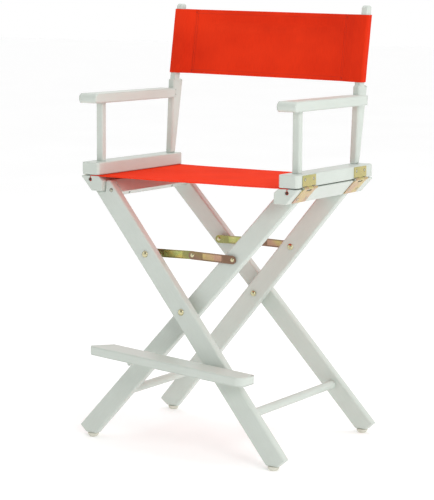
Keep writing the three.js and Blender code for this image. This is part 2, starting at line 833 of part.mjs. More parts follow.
addFrame('outer', LEG.outerY, drilledFrontOuterLeg());
addFrame('inner', LEG.innerY, drilledFrontInnerLeg());
addArm('left');
addArm('right');
addBraces();
addPivots();
addNode('footrest_board', footrestBoard(), 'paint');
addNode('footrest_bolt', footrestBolt(), 'zinc');
addNode('footrest_pin', supportPin(), 'zinc');
addNode('seat_canvas', seatCanvas(), 'cloth');
addNode('back_panel', backPanel(), 'cloth');

export default chair;
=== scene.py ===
"""A folding director chair on counter-height legs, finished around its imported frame.

Each sub-assembly is a class with its own sizes: the two crossed leg frames, the two arm
frames, the folding braces, the centre pivots, the footrest, the seat cloth and the back
cloth. Lengths are in metres, +Z is up and the chair faces -Y.
"""

import json
import logging
import math
from dataclasses import dataclass
from enum import Enum
from typing import Any, Iterable, Sequence

import bmesh
import bpy
from mathutils import Matrix, Vector, noise

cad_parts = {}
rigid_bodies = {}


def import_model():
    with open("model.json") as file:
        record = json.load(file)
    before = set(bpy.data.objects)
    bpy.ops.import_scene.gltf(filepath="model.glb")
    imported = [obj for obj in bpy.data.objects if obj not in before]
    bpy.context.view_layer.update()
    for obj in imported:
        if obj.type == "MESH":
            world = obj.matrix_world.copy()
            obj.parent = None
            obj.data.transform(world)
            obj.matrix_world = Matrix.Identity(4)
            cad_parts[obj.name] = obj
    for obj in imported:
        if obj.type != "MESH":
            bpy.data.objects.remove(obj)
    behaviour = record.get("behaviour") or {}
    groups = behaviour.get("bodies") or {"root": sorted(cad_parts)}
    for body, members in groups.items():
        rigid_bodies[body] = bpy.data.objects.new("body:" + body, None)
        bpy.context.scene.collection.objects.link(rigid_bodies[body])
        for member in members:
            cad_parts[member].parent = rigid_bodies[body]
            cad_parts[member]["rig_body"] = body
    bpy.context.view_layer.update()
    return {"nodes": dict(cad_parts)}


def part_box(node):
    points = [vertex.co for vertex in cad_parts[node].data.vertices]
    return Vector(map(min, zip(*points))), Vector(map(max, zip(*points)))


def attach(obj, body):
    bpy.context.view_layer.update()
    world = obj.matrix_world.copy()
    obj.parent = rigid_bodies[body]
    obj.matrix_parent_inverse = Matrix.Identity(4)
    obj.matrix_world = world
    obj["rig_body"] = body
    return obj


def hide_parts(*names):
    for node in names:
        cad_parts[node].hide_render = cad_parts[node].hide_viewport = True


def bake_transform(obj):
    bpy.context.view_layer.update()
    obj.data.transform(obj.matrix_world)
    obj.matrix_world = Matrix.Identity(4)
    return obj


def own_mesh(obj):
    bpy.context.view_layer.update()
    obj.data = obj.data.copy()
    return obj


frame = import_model()

log = logging.getLogger("director_chair")

MM = 0.001
BMesh = bmesh.types.BMesh
Socket = bpy.types.NodeSocket
Colour = tuple[float, float, float]
Stations = Sequence[float]

LEG_ANGLE = math.radians(41)
LEG_LEAN = 0.10
PIVOT_HEIGHT = 0.321
FRONT, REAR = -1, 1


class Slot(Enum):
    """The record's material slots."""

    PAINT = "paint"
    HARDWARE = "hardware"
    GLIDE = "glide"
    CANVAS = "canvas"
    ROD = "rod"


class Grain(Enum):
    """Which way the wood's grain runs, as the turn that stands it upright."""

    UPRIGHT = (0.0, 0.0, 0.0)
    FRONT_TO_BACK = (math.pi / 2, 0.0, 0.0)
    SIDE_TO_SIDE = (0.0, math.pi / 2, 0.0)
    OUTER_LEG = (0.0, LEG_ANGLE, 0.0)
    INNER_LEG = (0.0, -LEG_ANGLE, 0.0)


class Side(Enum):
    """A side of the chair: the leg frame whose seat rail is there, and the sign of its X."""

    LEFT = ("left", "outer", -1)
    RIGHT = ("right", "inner", 1)

    def __init__(self, hand: str, legs: str, sign: int) -> None:
        """Keeps the side's words and sign."""
        self.hand = hand
        self.legs = legs
        self.sign = sign


# ---------------------------------------------------------------- node trees


class Graph:
    """A node tree, with short ways to add and join its nodes."""

    def __init__(self, tree: bpy.types.NodeTree) -> None:
        """Keeps the tree that nodes are added to."""
        self.tree = tree

    def add(self, kind: str, inputs: dict[Any, Any] | None = None, **settings: Any) -> Any:
        """Adds a node.

        Args:
            kind: The node's type name without "ShaderNode".
            inputs: What each input gets, a socket to join or a plain value.
            settings: Attributes of the node itself.

        Returns:
            The new node.
        """
        node = self.tree.nodes.new("ShaderNode" + kind)
        for key, value in settings.items():
            setattr(node, key, value)
        self.feed_all(node, inputs or {})
        return node

    def feed_all(self, node: bpy.types.Node, values: dict[Any, Any]) -> None:
        """Feeds several of a node's inputs."""
        for key, value in values.items():
            self.feed(node.inputs[key], value)

    def feed(self, socket: Socket, value: Any) -> None:
        """Joins a socket to an input, or sets the input's own value."""
        if isinstance(value, bpy.types.NodeSocket):
            self.tree.links.new(value, socket)
        else:
            socket.default_value = value

    def math(self, operation: str, a: Any, b: Any = 0.0) -> Socket:
        """Returns the result of a Math node on two values."""
        return self.add("Math", {0: a, 1: b}, operation=operation).outputs[0]

    def blend(self, share: Any, a: Any, b: Any) -> Socket:
        """Returns a mix of two colours, share of the second."""
        node = self.add("Mix", {0: share, 6: a, 7: b}, data_type="RGBA")
        return node.outputs[2]

    def between(self, value: Socket, low: float, high: float, to: tuple[float, float]) -> Socket:
        """Returns value from low to high stretched to the two ends of to, and clamped."""
        inputs = {"Value": value, "From Min": low, "From Max": high}
        inputs.update({"To Min": to[0], "To Max": to[1]})
        return self.add("MapRange", inputs).outputs[0]

    def bump(self, height: Socket, strength: float, distance: float) -> Socket:
        """Returns the normal of a surface that a height roughens."""
        inputs = {"Height": height, "Strength": strength, "Distance": distance}
        return self.add("Bump", inputs).outputs[0]

    def noise(self, place: Socket, scale: Any, detail: float = 2.0) -> Socket:
        """Returns a noise value at a place."""
        inputs = {"Vector": place, "Scale": scale, "Detail": detail}
        return self.add("TexNoise", inputs).outputs[0]

    def ramp(self, value: Socket, stops: Sequence[tuple[float, Colour]]) -> Socket:
        """Returns the colour at value on a ramp through the stops."""
        node = self.add("ValToRGB", {0: value})
        band = node.color_ramp.elements
        while len(band) < len(stops):
            band.new(0.5)
        for element, (position, colour) in zip(band, stops):
            element.position = position
            element.color = (*colour, 1.0)
        return node.outputs[0]


class ShaderGroup:
    """An effect shared by several materials, built once."""

    built: dict[str, bpy.types.NodeTree] = {}

    @classmethod
    def start(cls, name: str, takes: dict[str, Any], gives: dict[str, str]) -> tuple:
        """Begins a group.

        Args:
            name: The group's name.
            takes: Each input's name with its default, or None for a vector.
            gives: Each output's name with its kind, "Float" or "Color".

        Returns:
            The graph, the input node's sockets and the output node.
        """
        tree = bpy.data.node_groups.new(name, "ShaderNodeTree")
        cls.built[name] = tree
        for label, default in takes.items():
            kind = "NodeSocketVector" if default is None else "NodeSocketFloat"
            socket = tree.interface.new_socket(name=label, in_out="INPUT", socket_type=kind)
            if default is not None:
                socket.default_value = default
        for label, kind in gives.items():
            tree.interface.new_socket(
                name=label, in_out="OUTPUT", socket_type="NodeSocket" + kind
            )
        entry = tree.nodes.new("NodeGroupInput")
        return Graph(tree), entry.outputs, tree.nodes.new("NodeGroupOutput").inputs

    @classmethod
    def place(cls, graph: Graph, name: str, inputs: dict[str, Any]) -> Any:
        """Puts a built group in a material.

        Args:
            graph: The material's graph.
            name: The group's name.
            inputs: What its inputs get.

        Returns:
            The outputs of the placed group.
        """
        node = graph.tree.nodes.new("ShaderNodeGroup")
        node.node_tree = cls.built[name]
        graph.feed_all(node, inputs)
        return node.outputs


def make_wood_grain() -> None:
    """Builds the grain that shows faintly through paint: long lines and a soft cloud."""
    graph, takes, gives = ShaderGroup.start(
        "wood_grain", {"Vector": None, "Lines": 700.0}, {"Streak": "Float", "Cloud": "Float"}
    )
    drawn = graph.add(
        "VectorMath", {0: takes["Vector"], 1: (1.0, 1.0, 0.04)}, operation="MULTIPLY"
    ).outputs[0]
    graph.feed(gives["Streak"], graph.noise(drawn, takes["Lines"], 4.0))
    graph.feed(gives["Cloud"], graph.noise(takes["Vector"], 11.0, 3.0))


def make_handling_marks() -> None:
    """Builds light smudges and a fine tooth, for the gloss of paint, plastic and metal."""
    graph, takes, gives = ShaderGroup.start(
        "handling_marks", {"Vector": None, "Scale": 30.0}, {"Smudge": "Float", "Tooth": "Float"}
    )
    broad = graph.noise(takes["Vector"], takes["Scale"], 5.0)
    graph.feed(gives["Smudge"], graph.between(broad, 0.42, 0.72, (0.0, 1.0)))
    fine = graph.math("MULTIPLY", takes["Scale"], 40.0)
    graph.feed(gives["Tooth"], graph.noise(takes["Vector"], fine, 1.0))


def make_cloth_weave() -> None:
    """Builds a plain weave from a flat map: thread height, a painted shade taken from that
    height, and slubs.
    """
    graph, takes, gives = ShaderGroup.start(
        "cloth_weave",
        {"Vector": None, "Pitch": 0.0009},
        {"Height": "Float", "Shade": "Float", "Slub": "Float"},
    )
    split = graph.add("SeparateXYZ", {0: takes["Vector"]})
    threads = []
    for axis in (0, 1):
        along = graph.math("DIVIDE", split.outputs[axis], takes["Pitch"])
        inside = graph.math("FRACT", along)
        arch = graph.math("SINE", graph.math("MULTIPLY", inside, math.pi))
        threads.append((graph.math("FLOOR", along), arch))
    parity = graph.math("FLOORED_MODULO", graph.math("ADD", threads[0][0], threads[1][0]), 2.0)
    over = graph.math("MULTIPLY", threads[0][1], graph.math("SQRT", threads[1][1]))
    under = graph.math("MULTIPLY", threads[1][1], graph.math("SQRT", threads[0][1]))
    height = graph.add("Mix", {0: parity, 2: over, 3: under}).outputs[0]
    graph.feed(gives["Height"], height)
    graph.feed(gives["Shade"], graph.between(height, 0.1, 0.9, (0.0, 1.0)))
    drawn = graph.add(
        "VectorMath", {0: takes["Vector"], 1: (1.0, 0.05, 1.0)}, operation="MULTIPLY"
    ).outputs[0]
    graph.feed(gives["Slub"], graph.noise(drawn, 900.0, 2.0))


def make_rainbow_plating() -> None:
    """Builds the yellow passivated zinc: gold that drifts to green, rose and brown, with a
    painted shade that darkens it towards brown.
    """
    graph, takes, gives = ShaderGroup.start(
        "rainbow_plating",
        {"Vector": None, "Shift": 0.0, "Spread": 1.0, "Pale": 0.0, "Stain": 0.0},
        {"Colour": "Color", "Haze": "Float"},
    )
    wide = graph.noise(takes["Vector"], 26.0, 2.0)
    spread = graph.math("MULTIPLY", graph.math("SUBTRACT", wide, 0.5), takes["Spread"])
    value = graph.math("ADD", graph.math("ADD", spread, 0.5), takes["Shift"])
    stops = [
        (0.00, (0.36, 0.20, 0.13)),
        (0.22, (0.50, 0.31, 0.22)),
        (0.42, (0.56, 0.46, 0.17)),
        (0.60, (0.58, 0.51, 0.22)),
        (0.76, (0.40, 0.44, 0.15)),
        (0.90, (0.60, 0.50, 0.14)),
        (1.00, (0.56, 0.36, 0.22)),
    ]
    bright = graph.blend(takes["Pale"], graph.ramp(value, stops), (0.62, 0.63, 0.54, 1.0))
    # painted shade: the rim shade input darkens the colour towards a dark brown
    rim_shaded = graph.blend(takes["Stain"], bright, (0.13, 0.085, 0.055, 1.0))
    graph.feed(gives["Colour"], rim_shaded)
    graph.feed(gives["Haze"], graph.noise(takes["Vector"], 210.0, 3.0))


# ---------------------------------------------------------------- finishes


def new_material(name: str) -> tuple[bpy.types.Material, Graph, Any]:
    """Makes an empty material with its shader.

    Args:
        name: The material's name.

    Returns:
        The material, its graph and its Principled shader.
    """
    material = bpy.data.materials.new(name)
    material.use_nodes = True
    material.node_tree.nodes.clear()
    graph = Graph(material.node_tree)
    shader = graph.add("BsdfPrincipled")
    graph.add("OutputMaterial", {"Surface": shader.outputs[0]})
    return material, graph, shader


@dataclass(frozen=True)
class PaintFinish:
    """Semi-gloss white paint on wood, with the grain just readable through it."""

    body: Colour = (0.585, 0.635, 0.585)
    thin: Colour = (0.545, 0.590, 0.540)
    gloss: float = 0.38
    lines_per_metre: float = 620.0

    def material(self, grain: Grain) -> bpy.types.Material:
        """Returns the paint for wood whose grain runs that way."""
        name = f"paint_{grain.name.lower()}"
        if name in bpy.data.materials:
            return bpy.data.materials[name]
        material, graph, shader = new_material(name)
        place = graph.add("TexCoord").outputs["Object"]
        turned = graph.add("Mapping", {"Vector": place, "Rotation": grain.value}).outputs[0]
        wood = ShaderGroup.place(
            graph, "wood_grain", {"Vector": turned, "Lines": self.lines_per_metre}
        )
        marks = ShaderGroup.place(graph, "handling_marks", {"Vector": place, "Scale": 22.0})
        streak = graph.between(wood["Streak"], 0.35, 0.65, (0.0, 0.45))
        cloud = graph.between(wood["Cloud"], 0.35, 0.65, (0.0, 0.55))
        share = graph.math("ADD", streak, cloud)
        colour = graph.blend(share, (*self.body, 1.0), (*self.thin, 1.0))
        rough = graph.between(marks["Smudge"], 0.0, 1.0, (self.gloss, self.gloss + 0.12))
        tooth = graph.math("MULTIPLY", marks["Tooth"], 0.35)
        relief = graph.math("ADD", graph.math("MULTIPLY", wood["Streak"], 0.65), tooth)
        looks = {"Base Color": colour, "Roughness": rough}
        looks["Normal"] = graph.bump(relief, 0.16, 0.6 * MM)
        looks.update({"Coat Weight": 0.12, "Coat Roughness": 0.25})
        graph.feed_all(shader, looks)
        return material


@dataclass(frozen=True)
class PlatingFinish:
    """Yellow passivated zinc on steel."""

    name: str
    shift: float = 0.02
    spread: float = 0.5
    roughness: float = 0.30
    pale: float = 0.0
    # how far the links' rims are darkened towards brown, as painted shade
    rim_painted_shade: float = 0.0

    def material(self) -> bpy.types.Material:
        """Returns the plated metal's material."""
        if self.name in bpy.data.materials:
            return bpy.data.materials[self.name]
        material, graph, shader = new_material(self.name)
        place = graph.add("TexCoord").outputs["Object"]
        inputs = {"Vector": place, "Shift": self.shift, "Spread": self.spread}
        inputs["Pale"] = self.pale
        # painted shade: everything outside the pressed channel's floor is darkened
        if self.rim_painted_shade:
            channel = graph.add("Attribute", attribute_name="channel").outputs["Fac"]
            inputs["Stain"] = graph.between(channel, 0.0, 1.0, (self.rim_painted_shade, 0.0))
        plating = ShaderGroup.place(graph, "rainbow_plating", inputs)
        marks = ShaderGroup.place(graph, "handling_marks", {"Vector": place, "Scale": 60.0})
        worn = graph.math("MULTIPLY", marks["Smudge"], 0.12)
        haze = graph.math("MULTIPLY", plating["Haze"], 0.14)
        rough = graph.math("ADD", graph.math("ADD", worn, haze), self.roughness - 0.07)
        looks = {"Base Color": plating["Colour"], "Metallic": 1.0, "Roughness": rough}
        looks["Normal"] = graph.bump(marks["Tooth"], 0.12, 0.3 * MM)
        graph.feed_all(shader, looks)
        return material


@dataclass(frozen=True)
class ClothFinish:
    """Heavy cotton duck, dyed through."""

    name: str
    light: Colour
    deep: Colour
    pitch: float = 0.9 * MM
    relief: float = 0.5

    def material(self) -> bpy.types.Material:
        """Returns the cloth's material."""
        material, graph, shader = new_material(self.name)
        flat = graph.add("UVMap", uv_map="cloth").outputs[0]
        place = graph.add("TexCoord").outputs["Object"]
        weave = ShaderGroup.place(graph, "cloth_weave", {"Vector": flat, "Pitch": self.pitch})
        broad = graph.between(graph.noise(place, 7.0, 3.0), 0.35, 0.65, (0.0, 0.6))
        slub = graph.between(weave["Slub"], 0.35, 0.7, (0.0, 0.3))
        # painted light and shade: the weave is lighter on the thread tops and darker between
        # them
        thread_top_light = graph.math("MULTIPLY", weave["Shade"], 0.35)
        share = graph.math("SUBTRACT", graph.math("ADD", broad, slub), thread_top_light)
        share = graph.between(share, -0.35, 0.90, (0.0, 1.0))
        colour = graph.blend(share, (*self.light, 1.0), (*self.deep, 1.0))
        rough = graph.between(weave["Slub"], 0.3, 0.7, (0.95, 0.82))
        height = graph.math("ADD", weave["Height"], graph.math("MULTIPLY", weave["Slub"], 0.5))
        looks = {"Base Color": colour, "Roughness": rough, "Specular IOR Level": 0.06}
        looks["Normal"] = graph.bump(height, self.relief, 0.25 * MM)
        looks.update({"Sheen Weight": 0.02, "Sheen Roughness": 0.55})
        looks["Sheen Tint"] = (1.0, 0.55, 0.42, 1.0)
        graph.feed_all(shader, looks)
        return material


@dataclass(frozen=True)
class PlainFinish:
    """Moulded plastic, thread or bare dowel: one colour with light marks."""

    name: str
    colour: Colour
    shade: Colour
    roughness: float
    scale: float = 45.0

    def material(self) -> bpy.types.Material:
        """Returns the material."""
        if self.name in bpy.data.materials:
            return bpy.data.materials[self.name]
        material, graph, shader = new_material(self.name)
        place = graph.add("TexCoord").outputs["Object"]
        marks = ShaderGroup.place(
            graph, "handling_marks", {"Vector": place, "Scale": self.scale}
        )
        share = graph.between(marks["Smudge"], 0.0, 1.0, (0.1, 0.8))
        colour = graph.blend(share, (*self.colour, 1.0), (*self.shade, 1.0))
        rough = graph.between(
            marks["Tooth"], 0.3, 0.7, (self.roughness - 0.05, self.roughness + 0.08)
        )
        looks = {"Base Color": colour, "Roughness": rough}
        looks["Normal"] = graph.bump(marks["Tooth"], 0.15, 0.3 * MM)
        graph.feed_all(shader, looks)
        return material


PAINT = PaintFinish()
UPPER_PLATING = PlatingFinish("plating_upper_leaf", shift=0.10, spread=0.55, roughness=0.27)
LOWER_PLATING = PlatingFinish("plating_lower_leaf", shift=-0.16, spread=0.7, roughness=0.25)
BOLT_PLATING = PlatingFinish("plating_bolt", shift=0.05, spread=0.3, roughness=0.22, pale=0.42)
STEEL = PlatingFinish("plating_screw", shift=0.0, spread=0.3, roughness=0.26, pale=0.85)
LINK_PLATING = {
    Side.LEFT: PlatingFinish(
        "plating_link_gold", shift=0.26, spread=1.1, roughness=0.25, rim_painted_shade=0.45
    ),
    Side.RIGHT: PlatingFinish(
        "plating_link_rose", shift=-0.28, spread=0.9, roughness=0.27, rim_painted_shade=0.62
    ),
}
SEAT_CLOTH = ClothFinish("cloth_seat", (0.95, 0.047, 0.009), (0.80, 0.030, 0.006))
# the back is the seat's canvas made darker: painted shade for a cloth that gets less light
BACK_CLOTH = ClothFinish("cloth_back", (0.86, 0.044, 0.010), (0.62, 0.024, 0.006))
# dark red thread, made darker still than the cloth as painted shade along the stitch lines and
# seams
SHADED_THREAD = PlainFinish("thread_red", (0.34, 0.018, 0.008), (0.24, 0.012, 0.006), 0.75, 400.0)
GLIDE_PLASTIC = PlainFinish("plastic_cream", (0.70, 0.69, 0.60), (0.60, 0.59, 0.50), 0.42)
DOWEL = PlainFinish("dowel_brown", (0.075, 0.035, 0.022), (0.045, 0.02, 0.014), 0.55, 120.0)
# a dark colour: painted shade in screw countersinks, screw recesses and cleat pockets, and the
# nail heads' own dark
HOLLOW_SHADE_AND_NAILS = PlainFinish("recess_dark", (0.10, 0.10, 0.085), (0.06, 0.06, 0.05), 0.6, 90.0)


# ---------------------------------------------------------------- making pieces

# A screw's rings from its countersink's rim inwards: how far in by shares of its radius, and
# how far up by shares of its crown. The first rings are the countersink, painted dark as shade.
SCREW_RINGS = ((0.03, 0.18), (0.30, 0.02), (0.05, 0.18), (0.20, 0.40), (0.20, 0.22), (0.03, 0.0))
SCREW_SHADED_RINGS = 2
SCREW_SINK = 1.25  # the countersink's radius by the screw's
SCREW_CROSS = 0.42  # how far the recess is pinched in between the arms of its cross


@dataclass(frozen=True)
class Easing:
    """How a solid's edges are eased: how far, in how many steps, and which edges."""

    reach: float
    steps: int = 3
    least_angle: float = math.radians(24)
    least_length: float = 4.0 * MM
    only_along: int | None = None
    spared: tuple[float, float, float] | None = None

    def takes(self, edge: bmesh.types.BMEdge) -> bool:
        """Says whether an edge is one to round.

        Args:
            edge: The edge.

        Returns:
            True if it is sharp and long enough, runs the right way and isn't spared.
        """
        run = edge.verts[1].co - edge.verts[0].co
        if len(edge.link_faces) != 2 or run.length <= self.least_length:
            return False
        if self.only_along is not None and abs(run[self.only_along]) < 0.99 * run.length:
            return False
        if self.spared:
            x, z, reach = self.spared
            middle = (edge.verts[0].co + edge.verts[1].co) / 2
            if math.hypot(abs(middle.x) - x, middle.z - z) < reach:
                return False
        return edge.calc_face_angle(0.0) > self.least_angle


def merged_copy(node: str) -> BMesh:
    """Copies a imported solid, with its loose triangles joined into whole flat faces.

    Args:
        node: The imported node's name.

    Returns:
        A closed mesh.
    """
    mesh = bmesh.new()
    mesh.from_mesh(frame["nodes"][node].data)
    bmesh.ops.remove_doubles(mesh, verts=mesh.verts, dist=0.004 * MM)
    bmesh.ops.dissolve_limit(
        mesh, angle_limit=math.radians(1.2), verts=mesh.verts, edges=mesh.edges
    )
    return mesh


def eased_copy(node: str, easing: Easing) -> BMesh:
    """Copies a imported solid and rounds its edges.

    Args:
        node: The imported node's name.
        easing: How far its edges are rounded, and which.

    Returns:
        The rounded mesh.
    """
    mesh = merged_copy(node)
    bmesh.ops.bevel(
        mesh,
        geom=[edge for edge in mesh.edges if easing.takes(edge)],
        offset=easing.reach,
        offset_type="OFFSET",
        segments=easing.steps,
        profile=0.5,
        affect="EDGES",
        clamp_overlap=False,
        material=-1,
    )
    return mesh


def turned(parts: Iterable[tuple[Sequence[tuple[float, float]], int]], place: Matrix) -> BMesh:
    """Turns profiles about an axis, as on a lathe.

    Args:
        parts: Each profile as (radius, height) points with its number of sides. A profile
            that starts away from the axis is closed back to its first point.
        place: Where the axis goes: its origin and, as Z, its direction.

    Returns:
        The turned mesh.
    """
    mesh = bmesh.new()
    for profile, sides in parts:
        verts = [mesh.verts.new((radius, 0.0, height)) for radius, height in profile]
        pairs = list(zip(verts, verts[1:]))
        if profile[0][0] > 0.0:
            pairs.append((verts[-1], verts[0]))
        edges = [mesh.edges.new(pair) for pair in pairs]
        bmesh.ops.spin(
            mesh,
            geom=verts + edges,
            cent=(0.0, 0.0, 0.0),
            axis=(0.0, 0.0, 1.0),
            angle=math.tau,
            steps=sides,
            use_merge=True,
        )
    bmesh.ops.remove_doubles(mesh, verts=mesh.verts, dist=0.0005 * MM)
    bmesh.ops.recalc_face_normals(mesh, faces=mesh.faces)
    bmesh.ops.transform(mesh, matrix=place, verts=mesh.verts)
    return mesh


def dome(radius: float, height: float, steps: int = 6) -> list[tuple[float, float]]:
    """Returns the profile of a domed head from its tip, at height 0, to its rim."""
    angles = [math.pi / 2 * i / steps for i in range(steps + 1)]
    return [(radius * math.sin(a), height * (1 - math.cos(a))) for a in angles]


def facing(point: Vector, normal: Vector, turn: float = 0.0) -> Matrix:
    """Returns the place of something that stands on a face, turned about the normal."""
    upright = normal.to_track_quat("Z", "Y").to_matrix().to_4x4()
    return Matrix.Translation(point) @ upright @ Matrix.Rotation(turn, 4, "Z")


def new_object(name: str, data: Any) -> bpy.types.Object:
    """Returns a new object in the scene, with its data or None."""
    thing = bpy.data.objects.new(name, data)
    bpy.context.scene.collection.objects.link(thing)
    return thing


def start_disc(mesh: BMesh, segments: int, radius: float, shape: Matrix) -> bmesh.types.BMFace:
    """Adds a round face that looks up.

    Args:
        mesh: The mesh to add to.
        segments: Its number of sides.
        radius: Its radius before it is shaped.
        shape: What it is turned or stretched by.

    Returns:
        The face.
    """
    circle = bmesh.ops.create_circle(
        mesh, cap_ends=True, segments=segments, radius=radius, matrix=shape
    )
    face = circle["verts"][0].link_faces[0]
    if face.normal.z < 0:
        face.normal_flip()
    return face


def place_new(mesh: BMesh, before: set[bmesh.types.BMVert], place: Matrix) -> None:
    """Moves to its place what was added to a mesh since its points were noted."""
    new = [vert for vert in mesh.verts if vert not in before]
    bmesh.ops.transform(mesh, matrix=place, verts=new)


def add_screw(
    mesh: BMesh, place: Matrix, radius: float = 3.3 * MM, crown: float = 1.0 * MM
) -> None:
    """Adds a low domed screw head with a crossed recess; its countersink and recess are painted
    dark as shade.

    Args:
        mesh: The mesh to add to.
        place: Where the underside of the head is, with Z outwards.
        radius: The head's radius.
        crown: The head's height.
    """
    before = set(mesh.verts)
    half_side = Matrix.Rotation(math.radians(15), 4, "Z")
    top = start_disc(mesh, 12, radius * SCREW_SINK, half_side)
    for ring, (inwards, upwards) in enumerate(SCREW_RINGS):
        ribbon = bmesh.ops.inset_region(
            mesh, faces=[top], thickness=radius * inwards, depth=crown * upwards,
            use_boundary=True,
        )["faces"]
        for face in ribbon:
            # the countersink's rings take the dark second material, painted shade
            face.material_index = int(ring < SCREW_SHADED_RINGS)
    centre = top.calc_center_median()
    for vert in top.verts:
        slant = math.degrees(math.atan2(vert.co.y - centre.y, vert.co.x - centre.x)) % 90
        if abs(slant - 45) < 5:
            vert.co = centre + (vert.co - centre) * SCREW_CROSS
    walls = bmesh.ops.inset_region(
        mesh, faces=[top], thickness=radius * 0.02, depth=-crown * 0.7
    )["faces"]
    # the recess's floor and walls take the dark second material, painted shade in the hole
    for face in [top, *walls]:
        face.material_index = 1
    place_new(mesh, before, place)


def finish_piece(
    name: str,
    mesh: BMesh,
    material: bpy.types.Material,
    body: str | None,
    replaces: Sequence[str] = (),
    sharp: float = 38.0,
    even: bool = True,
) -> bpy.types.Object:
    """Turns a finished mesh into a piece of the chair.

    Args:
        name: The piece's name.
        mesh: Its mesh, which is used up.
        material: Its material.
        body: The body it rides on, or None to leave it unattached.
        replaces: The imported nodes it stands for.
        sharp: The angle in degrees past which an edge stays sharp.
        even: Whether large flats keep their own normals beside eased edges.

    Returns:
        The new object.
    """
    data = bpy.data.meshes.new(name)
    mesh.to_mesh(data)
    mesh.free()
    data.shade_smooth()
    data.set_sharp_from_angle(angle=math.radians(sharp))
    piece = new_object(name, data)
    data.materials.append(material)
    if even:
        shading = piece.modifiers.new("even_shading", "WEIGHTED_NORMAL")
        shading.keep_sharp = True
    if replaces:
        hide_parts(*replaces)
    if body:
        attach(piece, body)
    log.info("%s: %d faces, on %s", name, len(data.polygons), body)
    return piece


def finish_screws(name: str, mesh: BMesh, body: str) -> bpy.types.Object:
    """Finishes a set of screw heads, with their sunk rims and recesses painted dark as shade.

    Args:
        name: The piece's name.
        mesh: The screw heads.
        body: The body they ride on.

    Returns:
        The new object.
    """
    piece = finish_piece(name, mesh, STEEL.material(), body)
    piece.data.materials.append(HOLLOW_SHADE_AND_NAILS.material())
    return piece


def body_of(node: str) -> str:
    """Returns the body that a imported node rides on."""
    return frame["nodes"][node]["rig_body"]


def carry_over(
    node: str, prefix: str, easing: Easing, material: bpy.types.Material
) -> bpy.types.Object:
    """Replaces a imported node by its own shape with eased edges.

    Args:
        node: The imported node's name.
        prefix: The word put before the node's name.
        easing: How its edges are rounded.
        material: Its material.

    Returns:
        The new piece.
    """
    mesh = eased_copy(node, easing)
    return finish_piece(f"{prefix}_{node}", mesh, material, body_of(node), [node])


# ---------------------------------------------------------------- leg frames


def leg_point(side: "Side", up: float, across: float) -> tuple[float, float]:
    """Finds a point on a leg from the centre pivot.

    Args:
        side: The side its seat rail is on.
        up: The distance up along the leg.
        across: The distance towards the leg's upper edge.

    Returns:
        Its X and Z.
    """
    x = -up * math.sin(LEG_ANGLE) + across * math.cos(LEG_ANGLE)
    z = PIVOT_HEIGHT + up * math.cos(LEG_ANGLE) + across * math.sin(LEG_ANGLE)
    return -side.sign * x, z


